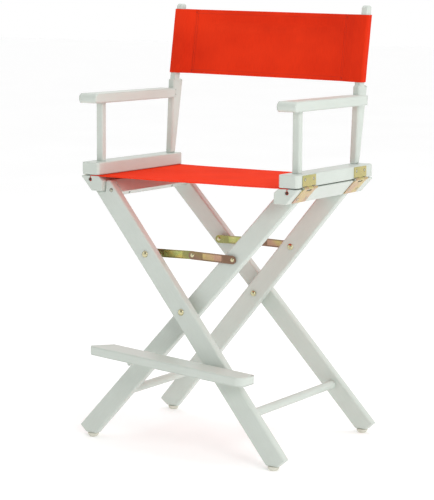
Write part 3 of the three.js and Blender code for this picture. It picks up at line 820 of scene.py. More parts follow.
@dataclass
class LegFrame:
    """One of the crossed leg frames, with its seat rail, cleat, stretcher and glides."""

    side: Side
    leg_easing: Easing = Easing(1.5 * MM)
    rail_easing: Easing = Easing(1.2 * MM, only_along=1, spared=(0.260, 0.6045, 9 * MM))
    cleat_easing: Easing = Easing(1.0 * MM)
    dowel_easing: Easing = Easing(0.5 * MM, steps=2, least_length=0.0)
    glide_sides: int = 36
    screw_up: float = 333 * MM
    screw_across: float = 13 * MM
    screw_radius: float = 3.8 * MM
    cleat_end: float = 319 * MM
    cleat_across: float = 15.5 * MM
    screw_crown: float = 1.1 * MM
    screw_proud: float = 0.3 * MM
    pockets: tuple[float, float] = (-86 * MM, 93 * MM)
    pocket_half: tuple[float, float] = (2.0 * MM, 4.6 * MM)
    pocket_slant: float = math.radians(35)

    @property
    def grain(self) -> Grain:
        """The way the legs' grain runs."""
        return Grain.OUTER_LEG if self.side is Side.LEFT else Grain.INNER_LEG

    def node(self, name: str) -> str:
        """Returns the name of one of this frame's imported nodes."""
        return f"{self.side.legs}_{name}"

    def build_wood(self) -> None:
        """Makes the legs, cleat, stretcher, seat rail and seat rod."""
        legs = PAINT.material(self.grain)
        across = PAINT.material(Grain.FRONT_TO_BACK)
        for end in ("front", "rear"):
            carry_over(self.node(f"leg_{end}"), "painted", self.leg_easing, legs)
        carry_over(self.node("cleat"), "painted", self.cleat_easing, across)
        carry_over(self.node("stretcher"), "painted", self.dowel_easing, across)
        rail = f"seat_rail_{self.side.hand}"
        carry_over(rail, "painted", self.rail_easing, across)
        rod = f"seat_rod_{self.side.hand}"
        carry_over(rod, "turned", self.dowel_easing, DOWEL.material())

    def build_glides(self) -> None:
        """Turns the mushroom glides, with a parting line and a hollow for the nail."""
        for end in ("front", "rear"):
            node = self.node(f"glide_{end}")
            low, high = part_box(node)
            middle = (low + high) / 2
            radius = (high.x - low.x) / 2
            stem = high.z - low.z
            top = 9.2 * MM
            profile = [
                (0.0, 1.6 * MM),
                (3.0 * MM, 1.6 * MM),
                (3.6 * MM, 0.3 * MM),
                (4.2 * MM, 0.0),
                (radius - 5.0 * MM, 0.0),
                (radius - 3.8 * MM, 0.5 * MM),
                (radius - 1.5 * MM, 3.4 * MM),
                (radius - 0.4 * MM, 5.2 * MM),
                (radius, 6.4 * MM),
                (radius - 0.3 * MM, 7.6 * MM),
                (radius - 1.2 * MM, top - 0.5 * MM),
                (radius - 2.6 * MM, top),
                (3.0 * MM, top),
                (3.0 * MM, stem - 0.8 * MM),
                (2.2 * MM, stem),
                (0.0, stem),
            ]
            place = Matrix.Translation((middle.x, middle.y, low.z))
            mesh = turned([(profile, self.glide_sides)], place)
            finish_piece(
                f"moulded_{node}", mesh, GLIDE_PLASTIC.material(),
                body_of(node), [node],
            )

    def build_screws(self) -> None:
        """Adds the screw through each leg top, into the cleat's end."""
        mesh = bmesh.new()
        x, z = leg_point(self.side, self.screw_up, self.screw_across)
        for end, outward in (("front", FRONT), ("rear", REAR)):
            low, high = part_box(self.node(f"leg_{end}"))
            face = (low.y if outward == FRONT else high.y) - outward * LEG_LEAN * (z - low.z)
            face += outward * self.screw_proud
            normal = Vector((0.0, outward, LEG_LEAN)).normalized()
            place = facing(Vector((x, face, z)), normal, 0.4)
            add_screw(mesh, place, self.screw_radius, self.screw_crown)
        finish_screws(f"leg_screws_{self.side.legs}", mesh, f"{self.side.legs}_legs")

    def build_pockets(self) -> None:
        """Sinks the two slanted screw holes in the cleat's lower end, as dark discs of painted
        shade.
        """
        mesh = bmesh.new()
        x, z = leg_point(self.side, self.cleat_end, self.cleat_across)
        away = Vector((-self.side.sign * math.sin(LEG_ANGLE), 0.0, -math.cos(LEG_ANGLE)))
        for y in self.pockets:
            before = set(mesh.verts)
            face = start_disc(mesh, 16, 1.0, Matrix.Diagonal((*self.pocket_half, 1.0, 1.0)))
            for thickness, depth in ((0.25 * MM, 0.3 * MM), (0.5 * MM, -0.2 * MM)):
                bmesh.ops.inset_region(
                    mesh, faces=[face], thickness=thickness, depth=depth, use_boundary=True
                )
            place_new(mesh, before, facing(Vector((x, y, z)), away, self.pocket_slant))
        name = f"cleat_pockets_{self.side.legs}"
        body = f"{self.side.legs}_legs"
        # the discs are dark: painted shade in the holes
        finish_piece(name, mesh, HOLLOW_SHADE_AND_NAILS.material(), body)

    def build(self) -> None:
        """Makes every piece of the frame."""
        self.build_wood()
        self.build_glides()
        self.build_screws()
        self.build_pockets()
        Hinges(self.side).build()


# ---------------------------------------------------------------- hinges


@dataclass
class Hinges:
    """The two hinges between a seat rail and its arm rail, with their pins and screws."""

    side: Side
    easing: Easing = Easing(0.35 * MM, steps=2, least_length=1.2 * MM)
    pin_easing: Easing = Easing(0.25 * MM, steps=2, least_length=0.0)
    screw_radius: float = 3.0 * MM
    screw_shares: tuple[float, float] = (0.17, 0.83)
    rail_slope: tuple[float, float] = (28.5 * MM, 32.0 * MM)
    rail_face: float = 285.5 * MM
    leaf_gap: float = 0.3 * MM
    leaf_plate: float = 1.6 * MM
    leaf_height: float = 24 * MM
    lower_height: float = 36 * MM
    upper_row: float = 0.38
    lower_row: float = 0.66

    def build(self) -> None:
        """Makes the leaves, the pins and the screws."""
        upper, lower = bmesh.new(), bmesh.new()
        finishes = {"upper": UPPER_PLATING.material(), "lower": LOWER_PLATING.material()}
        for end in ("front", "rear"):
            label = f"{self.side.hand}_{end}"
            for part, metal in finishes.items():
                carry_over(f"hinge_{part}_{label}", "plated", self.easing, metal)
            pin = f"hinge_pin_{label}"
            carry_over(pin, "plated", self.pin_easing, STEEL.material())
            self.add_upper_screws(upper, f"hinge_upper_{label}")
            self.add_lower_screws(lower, f"hinge_lower_{label}")
        hand = self.side.hand
        arm, legs = f"{hand}_arm", f"{self.side.legs}_legs"
        finish_screws(f"hinge_screws_arm_{hand}", upper, arm)
        finish_screws(f"hinge_screws_rail_{hand}", lower, legs)

    def add_upper_screws(self, mesh: BMesh, node: str) -> None:
        """Adds the two screws of an upper leaf."""
        low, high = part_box(node)
        sign = self.side.sign
        face = sign * (self.rail_face + self.leaf_gap + self.leaf_plate)
        for share in self.screw_shares:
            y = low.y + (high.y - low.y) * share
            point = Vector((face, y, high.z - self.leaf_height * self.upper_row))
            add_screw(mesh, facing(point, Vector((sign, 0, 0)), 0.3 + share), self.screw_radius)

    def add_lower_screws(self, mesh: BMesh, node: str) -> None:
        """Adds the two screws of a lower leaf, on the rail's slanting side."""
        low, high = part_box(node)
        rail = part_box(f"seat_rail_{self.side.hand}")
        sign = self.side.sign
        top = Vector((rail[0].x if sign < 0 else rail[1].x, 0.0, rail[1].z - 2 * MM))
        along = Vector((-sign * self.rail_slope[0], 0.0, -self.rail_slope[1])).normalized()
        out = Vector((sign * -along.z, 0.0, -abs(along.x)))
        surface = self.leaf_gap + self.leaf_plate
        for share in self.screw_shares:
            y = low.y + (high.y - low.y) * share
            down = 4 * MM + self.lower_height * self.lower_row
            point = top + along * down + out * surface
            point.y = y
            add_screw(mesh, facing(point, out, 0.9 * share), self.screw_radius)


# ---------------------------------------------------------------- arm frames


@dataclass
class ArmFrame:
    """An arm: its lower rail, two posts and armrest."""

    side: Side
    rail_easing: Easing = Easing(1.4 * MM)
    post_easing: Easing = Easing(1.0 * MM)
    rest_easing: Easing = Easing(2.2 * MM, steps=4, least_angle=math.radians(14))
    nail_radius: float = 1.3 * MM
    nail_depth: float = 0.5 * MM
    nail_behind_rest: float = 9 * MM
    nail_shares: tuple[float, float] = (0.3, 0.78)

    def build(self) -> None:
        """Makes the wooden pieces and the nails."""
        hand = self.side.hand
        along = PAINT.material(Grain.FRONT_TO_BACK)
        upright = PAINT.material(Grain.UPRIGHT)
        carry_over(f"arm_rail_{hand}", "painted", self.rail_easing, along)
        carry_over(f"armrest_{hand}", "painted", self.rest_easing, along)
        for post in ("front_post", "rear_post"):
            carry_over(f"{post}_{hand}", "painted", self.post_easing, upright)
        self.build_nails()

    def build_nails(self) -> None:
        """Sets two nail heads in the rear post's inner face, level with the armrest."""
        hand, sign = self.side.hand, self.side.sign
        low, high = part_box(f"armrest_{hand}")
        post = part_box(f"rear_post_{hand}")
        face = post[1].x if sign < 0 else post[0].x
        mesh = bmesh.new()
        for share in self.nail_shares:
            z = low.z + (high.z - low.z) * share
            point = Vector((face, high.y + self.nail_behind_rest, z))
            before = set(mesh.verts)
            bmesh.ops.create_cone(
                mesh, cap_ends=True, segments=12, radius1=self.nail_radius,
                radius2=self.nail_radius * 0.6, depth=self.nail_depth,
            )
            place_new(mesh, before, facing(point, Vector((-sign, 0, 0))))
        finish_piece(f"arm_nails_{hand}", mesh, HOLLOW_SHADE_AND_NAILS.material(), f"{hand}_arm")


# ---------------------------------------------------------------- braces


@dataclass
class Braces:
    """The folding braces above the centre pivots: pressed links, rivets and bolts."""

    half_width: float = 9.5 * MM
    rivet_height: float = 1.3 * MM
    rivet_radius: float = 4.8 * MM
    flat_end: float = 25 * MM
    lip: float = 2.9 * MM
    slope: float = 1.3 * MM
    press: float = 0.6 * MM
    bolt_head: float = 7.5 * MM
    bolt_crown: float = 3.6 * MM
    bolt_shank: float = 3.0 * MM
    bolt_collar: float = 5.2 * MM
    bolt_tip: float = 4.6 * MM
    tip_height: float = 1.4 * MM
    link_space: float = 3.8 * MM

    def build(self) -> None:
        """Makes the four links and the four bolts."""
        for end, outward in (("front", FRONT), ("rear", REAR)):
            for side in Side:
                self.build_link(side, end, outward)
                self.build_bolt(side, end, outward)

    def pressed_plate(self, length: float, thickness: float) -> BMesh:
        """Makes a link along X with round ends and a channel pressed in each face.

        Args:
            length: The distance between its end rivets.
            thickness: The plate's thickness, from z = 0 up.

        Returns:
            The link's mesh.
        """
        mesh = bmesh.new()
        channel = mesh.faces.layers.float.new("channel")
        segments = 28
        circle = bmesh.ops.create_circle(
            mesh, cap_ends=True, segments=segments, radius=self.half_width,
            matrix=Matrix.Rotation(math.pi / segments, 4, "Z"),
        )
        far = [vert for vert in circle["verts"] if vert.co.x > 0]
        bmesh.ops.translate(mesh, verts=far, vec=(length, 0.0, 0.0))
        face = circle["verts"][0].link_faces[0]
        grown = bmesh.ops.extrude_face_region(mesh, geom=[face], use_keep_orig=True)["geom"]
        rim = [item for item in grown if isinstance(item, bmesh.types.BMVert)]
        bmesh.ops.translate(mesh, verts=rim, vec=(0.0, 0.0, thickness))
        for x in (self.flat_end, length - self.flat_end):
            everything = mesh.verts[:] + mesh.edges[:] + mesh.faces[:]
            bmesh.ops.bisect_plane(
                mesh, geom=everything, plane_co=(x, 0.0, 0.0), plane_no=(1.0, 0.0, 0.0)
            )
        bmesh.ops.recalc_face_normals(mesh, faces=mesh.faces)
        for face in [f for f in mesh.faces if abs(f.normal.z) > 0.9]:
            if self.flat_end < face.calc_center_median().x < length - self.flat_end:
                bmesh.ops.inset_region(mesh, faces=[face], thickness=self.lip)
                bmesh.ops.inset_region(
                    mesh, faces=[face], thickness=self.slope, depth=-self.press
                )
                # the channel's floor is marked here; the rest of the link takes painted shade on
                # its rims
                face[channel] = 1.0
        edges = [edge for edge in mesh.edges if edge.calc_face_angle(0.0) > 1.2]
        bmesh.ops.bevel(
            mesh, geom=edges, offset=0.35 * MM, segments=2, profile=0.5, affect="EDGES",
            material=-1,
        )
        return mesh

    def build_link(self, side: Side, end: str, outward: int) -> None:
        """Makes one link with its half of the middle rivet.

        Args:
            side: The side whose legs it is pinned to.
            end: "front" or "rear".
            outward: The sign of Y that faces out of the chair there.
        """
        node = f"brace_link_{side.legs}_{end}"
        low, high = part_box(node)
        inset = self.half_width
        near = low.x + inset if side is Side.LEFT else high.x - inset
        far = high.x - inset if side is Side.LEFT else low.x + inset
        start = Vector((near, 0.0, low.z + inset))
        stop = Vector((far, 0.0, high.z - inset))
        rivet_out = -outward if side is Side.LEFT else outward
        plate_low = low.y + (self.rivet_height if rivet_out < 0 else 0.0)
        plate_high = high.y - (self.rivet_height if rivet_out > 0 else 0.0)
        along = (stop - start).normalized()
        mesh = self.pressed_plate((stop - start).length, plate_high - plate_low)
        across = Vector((0.0, 1.0, 0.0))
        turn = Matrix((along, across.cross(along), across)).transposed().to_4x4()
        place = Matrix.Translation((start.x, plate_low, start.z)) @ turn
        bmesh.ops.transform(mesh, matrix=place, verts=mesh.verts)
        tip = high.y if rivet_out > 0 else low.y
        head = dome(self.rivet_radius, self.rivet_height, 4)
        head += [(self.rivet_radius, self.rivet_height + 0.4 * MM)]
        head += [(0.0, self.rivet_height + 0.4 * MM)]
        point = Vector((stop.x, tip, stop.z))
        rivet = turned([(head, 24)], facing(point, Vector((0, -rivet_out, 0))))
        metal = LINK_PLATING[side].material()
        body = f"brace_{end}_{side.legs}"
        finish_piece(f"pressed_{node}", mesh, metal, body, [node])
        name = f"brace_rivet_{side.legs}_{end}"
        finish_piece(name, rivet, BOLT_PLATING.material(), body)

    def build_bolt(self, side: Side, end: str, outward: int) -> None:
        """Makes the bolt that holds a link to its leg, head out and rivet on the link.

        Args:
            side: The side whose legs it goes through.
            end: "front" or "rear".
            outward: The sign of Y that faces out of the chair there.
        """
        node = f"brace_bolt_{side.legs}_{end}"
        low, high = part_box(node)
        middle = (low + high) / 2
        total = high.y - low.y
        collar_length = 12.75 * MM if side is Side.LEFT else 2.45 * MM
        stop = total - self.link_space
        profile = dome(self.bolt_head, self.bolt_crown)
        profile += [
            (self.bolt_shank, self.bolt_crown),
            (self.bolt_shank, stop - collar_length),
            (self.bolt_collar, stop - collar_length),
            (self.bolt_collar, stop),
            (self.bolt_shank, stop),
            (self.bolt_shank, total - self.tip_height),
        ]
        tip = dome(self.bolt_tip, self.tip_height, 4)
        profile += [(radius, total - height) for radius, height in reversed(tip)]
        starts_out = outward if side is Side.LEFT else -outward
        point = Vector((middle.x, high.y if starts_out > 0 else low.y, middle.z))
        mesh = turned([(profile, 28)], facing(point, Vector((0, -starts_out, 0))))
        finish_piece(
            f"domed_{node}", mesh, BOLT_PLATING.material(),
            body_of(node), [node],
        )


# ---------------------------------------------------------------- centre pivots


@dataclass
class CentrePivots:
    """The two bolts the crossed frames turn on, each with a spacer and a cap nut."""

    head: float = 7.5 * MM
    crown: float = 3.6 * MM
    shank: float = 3.5 * MM
    nut: float = 7.4 * MM
    nut_height: float = 2.6 * MM
    cap_height: float = 5.6 * MM
    spacer_easing: Easing = Easing(0.4 * MM, steps=2, least_length=0.0)

    def build(self) -> None:
        """Makes the bolts and spacers."""
        for end, outward in (("front", FRONT), ("rear", REAR)):
            node = f"pivot_bolt_{end}"
            low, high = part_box(node)
            middle = (low + high) / 2
            total = high.y - low.y
            nut = total - self.cap_height
            bolt = dome(self.head, self.crown)
            bolt += [(self.shank, self.crown), (self.shank, total - 2 * MM)]
            bolt += [(0.0, total - 2 * MM)]
            hexagon = [(self.shank, nut), (self.nut, nut), (self.nut, nut + self.nut_height)]
            hexagon += [(self.shank, nut + self.nut_height)]
            cap = [(r, total - h) for r, h in dome(6.0 * MM, 3.0 * MM)]
            cap += [(0.0, total - 3.0 * MM)]
            point = Vector((middle.x, low.y if outward < 0 else high.y, middle.z))
            place = facing(point, Vector((0, -outward, 0)))
            mesh = turned([(bolt, 28), (hexagon, 6), (cap, 24)], place)
            metal = BOLT_PLATING.material()
            finish_piece(f"domed_{node}", mesh, metal, body_of(node), [node])
            spacer = f"pivot_spacer_{end}"
            carry_over(spacer, "turned", self.spacer_easing, metal)


# ---------------------------------------------------------------- footrest


@dataclass
class Footrest:
    """The board across the front, its bolt and the pin it rests on."""

    easing: Easing = Easing(2.4 * MM, steps=4, least_length=3.0 * MM)
    metal_easing: Easing = Easing(0.3 * MM, steps=2, least_length=0.0)

    def build(self) -> None:
        """Makes the board and its hardware."""
        wood = PAINT.material(Grain.SIDE_TO_SIDE)
        carry_over("footrest_board", "painted", self.easing, wood)
        carry_over("footrest_pin", "painted", self.metal_easing, wood)
        metal = BOLT_PLATING.material()
        carry_over("footrest_bolt", "plated", self.metal_easing, metal)


# ---------------------------------------------------------------- cloth


def sheet_from_path(path: Sequence[Vector], steps: Sequence[Vector]) -> BMesh:
    """Draws a path and pulls it into a sheet.

    Args:
        path: The points of the sheet's first edge.
        steps: The moves from each row of the sheet to the next.

    Returns:
        An open, single-layer mesh.
    """
    mesh = bmesh.new()
    verts = [mesh.verts.new(point) for point in path]
    row = [mesh.edges.new(pair) for pair in zip(verts, verts[1:])]
    for step in steps:
        grown = bmesh.ops.extrude_edge_only(mesh, edges=row)["geom"]
        moved = [item for item in grown if isinstance(item, bmesh.types.BMVert)]
        bmesh.ops.translate(mesh, verts=moved, vec=step)
        fresh = set(moved)
        row = [
            item
            for item in grown
            if isinstance(item, bmesh.types.BMEdge) and set(item.verts) <= fresh
        ]
    bmesh.ops.recalc_face_normals(mesh, faces=mesh.faces)
    return mesh


def thicken(mesh: BMesh, thickness: float, away: Vector) -> None:
    """Gives a single-layer sheet its thickness, half to each side.

    Args:
        mesh: The sheet.
        thickness: The cloth's thickness.
        away: A direction that the sheet's first side roughly faces.
    """
    faces = mesh.faces[:]
    total = sum((face.normal * face.calc_area() for face in faces), Vector())
    if total.dot(away) < 0:
        bmesh.ops.reverse_faces(mesh, faces=faces)
    mesh.normal_update()
    for vert in mesh.verts:
        vert.co += vert.normal * thickness / 2
    bmesh.ops.solidify(mesh, geom=mesh.faces[:], thickness=thickness)
    bmesh.ops.recalc_face_normals(mesh, faces=mesh.faces)


def spaced(start: float, stop: float, count: int) -> list[float]:
    """Returns count + 1 evenly spaced numbers from start to stop."""
    return [start + (stop - start) * i / count for i in range(count + 1)]


def hemmed_stations(start: float, stop: float, hem: float, count: int) -> list[float]:
    """Returns stations across a sheet, with close ones at each hem's edge.

    Args:
        start: The first edge.
        stop: The last edge.
        hem: The hem's width.
        count: How many steps the part between the hems has.

    Returns:
        The stations in order.
    """
    sign = math.copysign(1.0, stop - start)
    edge = [0.0, 0.6 * MM, hem * 0.5, hem, hem + 0.8 * MM]
    near = [start + sign * offset for offset in edge]
    far = [stop - sign * offset for offset in reversed(edge)]
    return near + spaced(near[-1], far[0], count)[1:-1] + far


def moves(stations: Stations, direction: Vector) -> list[Vector]:
    """Returns the moves along a direction between stations."""
    return [direction * (b - a) for a, b in zip(stations, stations[1:])]


def add_stitches(
    mesh: BMesh, start: Vector, stop: Vector, normal: Vector, pitch: float = 3.6 * MM
) -> None:
    """Adds a row of stitches that stand a little proud of the cloth.

    Args:
        mesh: The mesh to add to.
        start: The middle of the cloth where the row starts.
        stop: Where it stops.
        normal: The cloth's outward direction.
        pitch: The distance from one stitch to the next.
    """
    run = stop - start
    count = max(1, round(run.length / pitch))
    along = run.normalized()
    side = normal.cross(along)
    turn = Matrix((along, side, normal)).transposed().to_4x4()
    size = Matrix.Diagonal((pitch * 0.40, 0.30 * MM, 0.30 * MM, 1.0))
    for index in range(count):
        middle = start + run * ((index + 0.5) / count)
        bmesh.ops.create_uvsphere(
            mesh, u_segments=6, v_segments=4, radius=1.0,
            matrix=Matrix.Translation(middle) @ turn @ size,
        )


def lay_flat_map(piece: bpy.types.Object, axes: tuple[Vector, Vector]) -> None:
    """Gives a cloth piece the flat map its weave follows, in metres along two axes."""
    data = piece.data
    layer = data.uv_layers.new(name="cloth")
    for loop in data.loops:
        point = data.vertices[loop.vertex_index].co
        layer.data[loop.index].uv = (point.dot(axes[0]), point.dot(axes[1]))


@dataclass
class SeatCloth:
    """The taut seat, in two halves that meet in the middle and each follow a seat rail."""

    thickness: float = 1.0 * MM
    hem: float = 11 * MM
    hem_extra: float = 0.5 * MM
    sag: float = 1.6 * MM
    bow: float = 2.0 * MM
    slot_x: float = 260 * MM
    turn_radius: float = 1.6 * MM
    rail_edge: float = 238 * MM
    rod_z: float = 603.6 * MM
    loop_radius: float = 3.55 * MM
    follow_from: float = 4 * MM
    follow_to: float = 232 * MM

    def path(self, sign: int, top: float, y: float) -> list[Vector]:
        """Returns the cloth's path from the middle over the rail and round the rod.

        Args:
            sign: The side's sign.
            top: The height of the cloth's middle layer on the rail.
            y: Where along the rail.

        Returns:
            The points of the path.
        """
        reach = self.turn_radius
        turn_x = self.slot_x - reach
        flat = spaced(0.0, self.rail_edge, 34) + spaced(self.rail_edge, turn_x, 4)[1:]
        points = [(x, top) for x in flat]
        for i in range(1, 4):
            angle = math.pi / 2 * i / 3
            x = turn_x + reach * math.sin(angle)
            points.append((x, top - reach * (1 - math.cos(angle))))
        for i in range(17):
            angle = math.pi / 2 + math.radians(325) * i / 16
            x = self.slot_x + self.loop_radius * math.cos(angle)
            points.append((x, self.rod_z + self.loop_radius * math.sin(angle)))
        return [Vector((sign * x, y, z)) for x, z in points]

    def drape(self, mesh: BMesh, low: Vector, high: Vector) -> None:
        """Lets the cloth sag between the rails and bows its free edges inwards.

        Args:
            mesh: The sheet.
            low: The cloth's lowest corner.
            high: Its highest corner.
        """
        middle = (low.y + high.y) / 2
        half = (high.y - low.y) / 2
        for vert in mesh.verts:
            x, y, _ = vert.co
            share = max(0.0, 1 - (x / self.rail_edge) ** 2)
            across = (y - middle) / half
            ripple = noise.noise(Vector((x * 9.0, y * 14.0, 0.3))) * 0.5 * MM
            edge = 1 - 0.25 * across * across
            vert.co.z -= share * (self.sag * edge + ripple)
            vert.co.y -= self.bow * across * share

    def build_half(self, side: Side) -> None:
        """Makes one half of the seat with its stitching."""
        low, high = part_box("seat_canvas")
        top = high.z - self.thickness / 2
        stations = hemmed_stations(low.y, high.y, self.hem, 26)
        path = self.path(side.sign, top, low.y)
        mesh = sheet_from_path(path, moves(stations, Vector((0, 1, 0))))
        self.drape(mesh, low, high)
        thicken(mesh, self.thickness, Vector((0, 0, 1)))
        self.fold_hems(mesh, low, high, top)
        piece = finish_piece(
            f"seat_cloth_{side.hand}", mesh, self.material, None,
            ["seat_canvas"], sharp=60, even=False,
        )
        lay_flat_map(piece, (Vector((1, 0, -side.sign)), Vector((0, 1, 0))))
        thread = bmesh.new()
        for y in (low.y + self.hem * 0.85, high.y - self.hem * 0.85):
            for z in (top + self.thickness / 2, top - self.thickness / 2 - self.hem_extra):
                start = Vector((side.sign * 1 * MM, y, z))
                stop = Vector((side.sign * (self.rail_edge - 3 * MM), y, z))
                add_stitches(thread, start, stop, Vector((0, 0, 1)))
        self.drape(thread, low, high)
        stitches = finish_piece(
            f"seat_stitching_{side.hand}", thread, SHADED_THREAD.material(), None,
            even=False,
        )
        for cloth in (piece, stitches):
            start = (side.sign * self.follow_from, 0.0, top)
            stop = (side.sign * self.follow_to, 0.0, top)
            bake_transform(cloth)

    def fold_hems(self, mesh: BMesh, low: Vector, high: Vector, top: float) -> None:
        """Thickens the underside where the hems are folded, between the rails."""
        reach = self.hem + self.bow + 0.4 * MM
        for vert in mesh.verts:
            inside = abs(vert.co.x) < self.rail_edge - 2 * MM
            near = min(vert.co.y - low.y, high.y - vert.co.y) < reach
            if inside and near and vert.normal.z < -0.5:
                vert.co.z -= self.hem_extra

    def build(self) -> None:
        """Makes both halves."""
        self.material = SEAT_CLOTH.material()
        for side in Side:
            self.build_half(side)


@dataclass
class BackCloth:
    """The back: a sleeve round each rear post and a panel between them."""

    rake: float = 0.17
    shoulder: float = 822 * MM
    depth: float = 188 * MM
    thickness: float = 1.2 * MM
    sleeve_outer: float = 264.6 * MM
    sleeve_half: float = 11.8 * MM
    sleeve_corner: float = 5.0 * MM
    sleeve_flat: float = 241 * MM
    split: float = 228 * MM
    split_half: float = 7.9 * MM
    seam: float = 206 * MM
    flap: float = 9 * MM
    hem: float = 11 * MM
    sag: float = 6.0 * MM
    drop: float = 9.0 * MM
    dimple: float = 0.7 * MM
    folded_share: float = 0.0671

    def lean(self, mesh: BMesh) -> None:
        """Leans a mesh that was drawn upright, along with the posts.

        The cloth hangs a little lower on the right post than on the left.
        """
        drop = Matrix.Identity(4)
        drop[2][0] = -self.drop / (2 * self.sleeve_outer)
        drop[2][3] = -self.drop / 2
        bmesh.ops.transform(mesh, matrix=drop, verts=mesh.verts)
        slope = Matrix.Identity(4)
        slope[1][2] = self.rake
        slope[1][3] = self.depth - self.rake * self.shoulder
        bmesh.ops.transform(mesh, matrix=slope, verts=mesh.verts)

    def build_sleeve(self, side: Side) -> None:
        """Makes the part that wraps a post.

        Args:
            side: The side whose post it wraps.
        """
        low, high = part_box(f"back_sleeve_{side.hand}")
        outer = self.sleeve_outer - self.thickness / 2
        half = self.sleeve_half - self.thickness / 2
        corner = self.sleeve_corner
        points = [(self.split, -self.split_half), (self.sleeve_flat, -half)]
        for start, centre_y in ((-math.pi / 2, -half + corner), (0.0, half - corner)):
            for i in range(7):
                angle = start + math.pi / 2 * i / 6
                x = outer - corner + corner * math.cos(angle)
                points.append((x, centre_y + corner * math.sin(angle)))
        points += [(self.sleeve_flat, half), (self.split, self.split_half)]
        path = [Vector((side.sign * x, y, low.z)) for x, y in points]
        stations = hemmed_stations(low.z, high.z, self.hem, 12)
        mesh = sheet_from_path(path, moves(stations, Vector((0, 0, 1))))
        for vert in mesh.verts:
            swell = noise.noise(Vector((vert.co.x * 20, vert.co.y * 20, vert.co.z * 22)))
            vert.co.y += swell * 0.5 * MM
        thicken(mesh, self.thickness, Vector((side.sign, 0, 0)))
        self.lean(mesh)
        name = f"back_cloth_sleeve_{side.hand}"
        piece = finish_piece(
            name, mesh, self.material, f"{side.hand}_arm",
            [f"back_sleeve_{side.hand}"], sharp=60, even=False,
        )
        lay_flat_map(piece, (Vector((1, side.sign * 1, 0)), Vector((0, 0, 1))))

    def pull(self, mesh: BMesh, low: Vector, high: Vector) -> None:
        """Shapes the panel: a shallow hollow, slack along the top and soft creases.

        Args:
            mesh: The panel, drawn upright.
            low: The back's lowest corner.
            high: Its highest corner.
        """
        height = high.z - low.z
        for vert in mesh.verts:
            x, _, z = vert.co
            share = max(0.0, 1 - (x / self.seam) ** 2)
            up = (z - low.z) / height
            hollow = self.sag * share * (0.75 + 0.25 * math.cos((up - 0.5) * math.tau))
            slack = 4.4 * MM * min(1.0, share * 2) * math.exp(-(((up - 0.80) / 0.09) ** 2))
            crease = noise.noise(Vector((x * 5.0, 0.7, z * 20.0))) * 2.2 * MM
            vert.co.y += hollow + slack + crease * min(1.0, share * 3)
            for line in (self.seam, self.seam - 4.5 * MM):
                vert.co.y += self.dimple * max(0.0, 1 - abs(abs(x) - line) / (1.1 * MM))

    def build_panel(self) -> None:
        """Makes the panel between the sleeves, with its rear flaps and stitching."""
        low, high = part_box("back_panel")
        stations = hemmed_stations(low.z, high.z, self.hem, 26)
        rows = moves(stations, Vector((0, 0, 1)))
        front = -self.thickness / 2
        bend = [(self.split, self.split_half), (220 * MM, 5.2 * MM), (212 * MM, 2.4 * MM)]
        left = [Vector((-x, -y, low.z)) for x, y in [*bend, (self.seam, -front)]]
        grooves = [self.seam - step * MM for step in (1.1, 2.2, 3.4, 4.5, 5.6, 7.5)]
        middle = spaced(-grooves[-1], grooves[-1], 60)[1:-1]
        across = [-x for x in grooves] + middle + grooves[::-1]
        flat = [Vector((x, front, low.z)) for x in across]
        right = [Vector((-point.x, point.y, point.z)) for point in reversed(left)]
        mesh = sheet_from_path(left + flat + right, rows)
        self.pull(mesh, low, high)
        thicken(mesh, self.thickness, Vector((0, -1, 0)))
        self.lean(mesh)
        pieces = [self.cloth("back_cloth_panel", mesh, ["back_panel"])]
        for side in Side:
            behind = self.thickness * 0.6
            turned_back = [*bend, (self.seam, behind), (self.seam - self.flap, behind)]
            path = [Vector((side.sign * x, y, low.z)) for x, y in turned_back]
            flap = sheet_from_path(path, rows)
            self.pull(flap, low, high)
            thicken(flap, self.thickness, Vector((0, 1, 0)))
            self.lean(flap)
            pieces.append(self.cloth(f"back_cloth_flap_{side.hand}", flap, []))
        pieces.append(self.build_stitching(low, high))
        for piece in pieces:
            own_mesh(piece)

    def cloth(self, name: str, mesh: BMesh, replaces: Sequence[str]) -> bpy.types.Object:
        """Returns a piece of the back cloth that rides on the left arm."""
        piece = finish_piece(
            name, mesh, self.material, "left_arm", replaces, sharp=60, even=False
        )
        lay_flat_map(piece, (Vector((1, 0, 0)), Vector((0, 0, 1))))
        return piece

    def build_stitching(self, low: Vector, high: Vector) -> bpy.types.Object:
        """Sews the hems and the two seams, with back-tacks at the seams' ends.

        Args:
            low: The back's lowest corner.
            high: Its highest corner.

        Returns:
            The stitching.
        """
        thread = bmesh.new()
        out = Vector((0, -1, 0))
        for face in (-self.thickness, self.thickness * 0.1):
            for z in (low.z + self.hem * 0.85, high.z - self.hem * 0.85):
                start = Vector((-self.seam + 2 * MM, face, z))
                add_stitches(thread, start, Vector((self.seam - 2 * MM, face, z)), out)
        for sign in (-1, 1):
            for offset, front in ((0.0, -1.25), (-4.5 * MM, -1.2)):
                x = sign * (self.seam + offset)
                start = Vector((x, front * MM, low.z + 4 * MM))
                add_stitches(thread, start, Vector((x, front * MM, high.z - 4 * MM)), out)
            for z in (low.z + 7 * MM, high.z - 7 * MM):
                for step in (-1.6, 0.0, 1.6):
                    start = Vector((sign * self.seam - 3 * MM, -1.3 * MM, z + step * MM))
                    stop = start + Vector((6 * MM, 0, 0))
                    add_stitches(thread, start, stop, out, 3.0 * MM)
        self.pull(thread, low, high)
        self.lean(thread)
        return finish_piece(
            "back_stitching", thread, SHADED_THREAD.material(), "left_arm", even=False
        )

    def build(self) -> None:
        """Makes the sleeves and the panel."""
        self.material = BACK_CLOTH.material()
        for side in Side:
            self.build_sleeve(side)
        self.build_panel()


# ---------------------------------------------------------------- studio


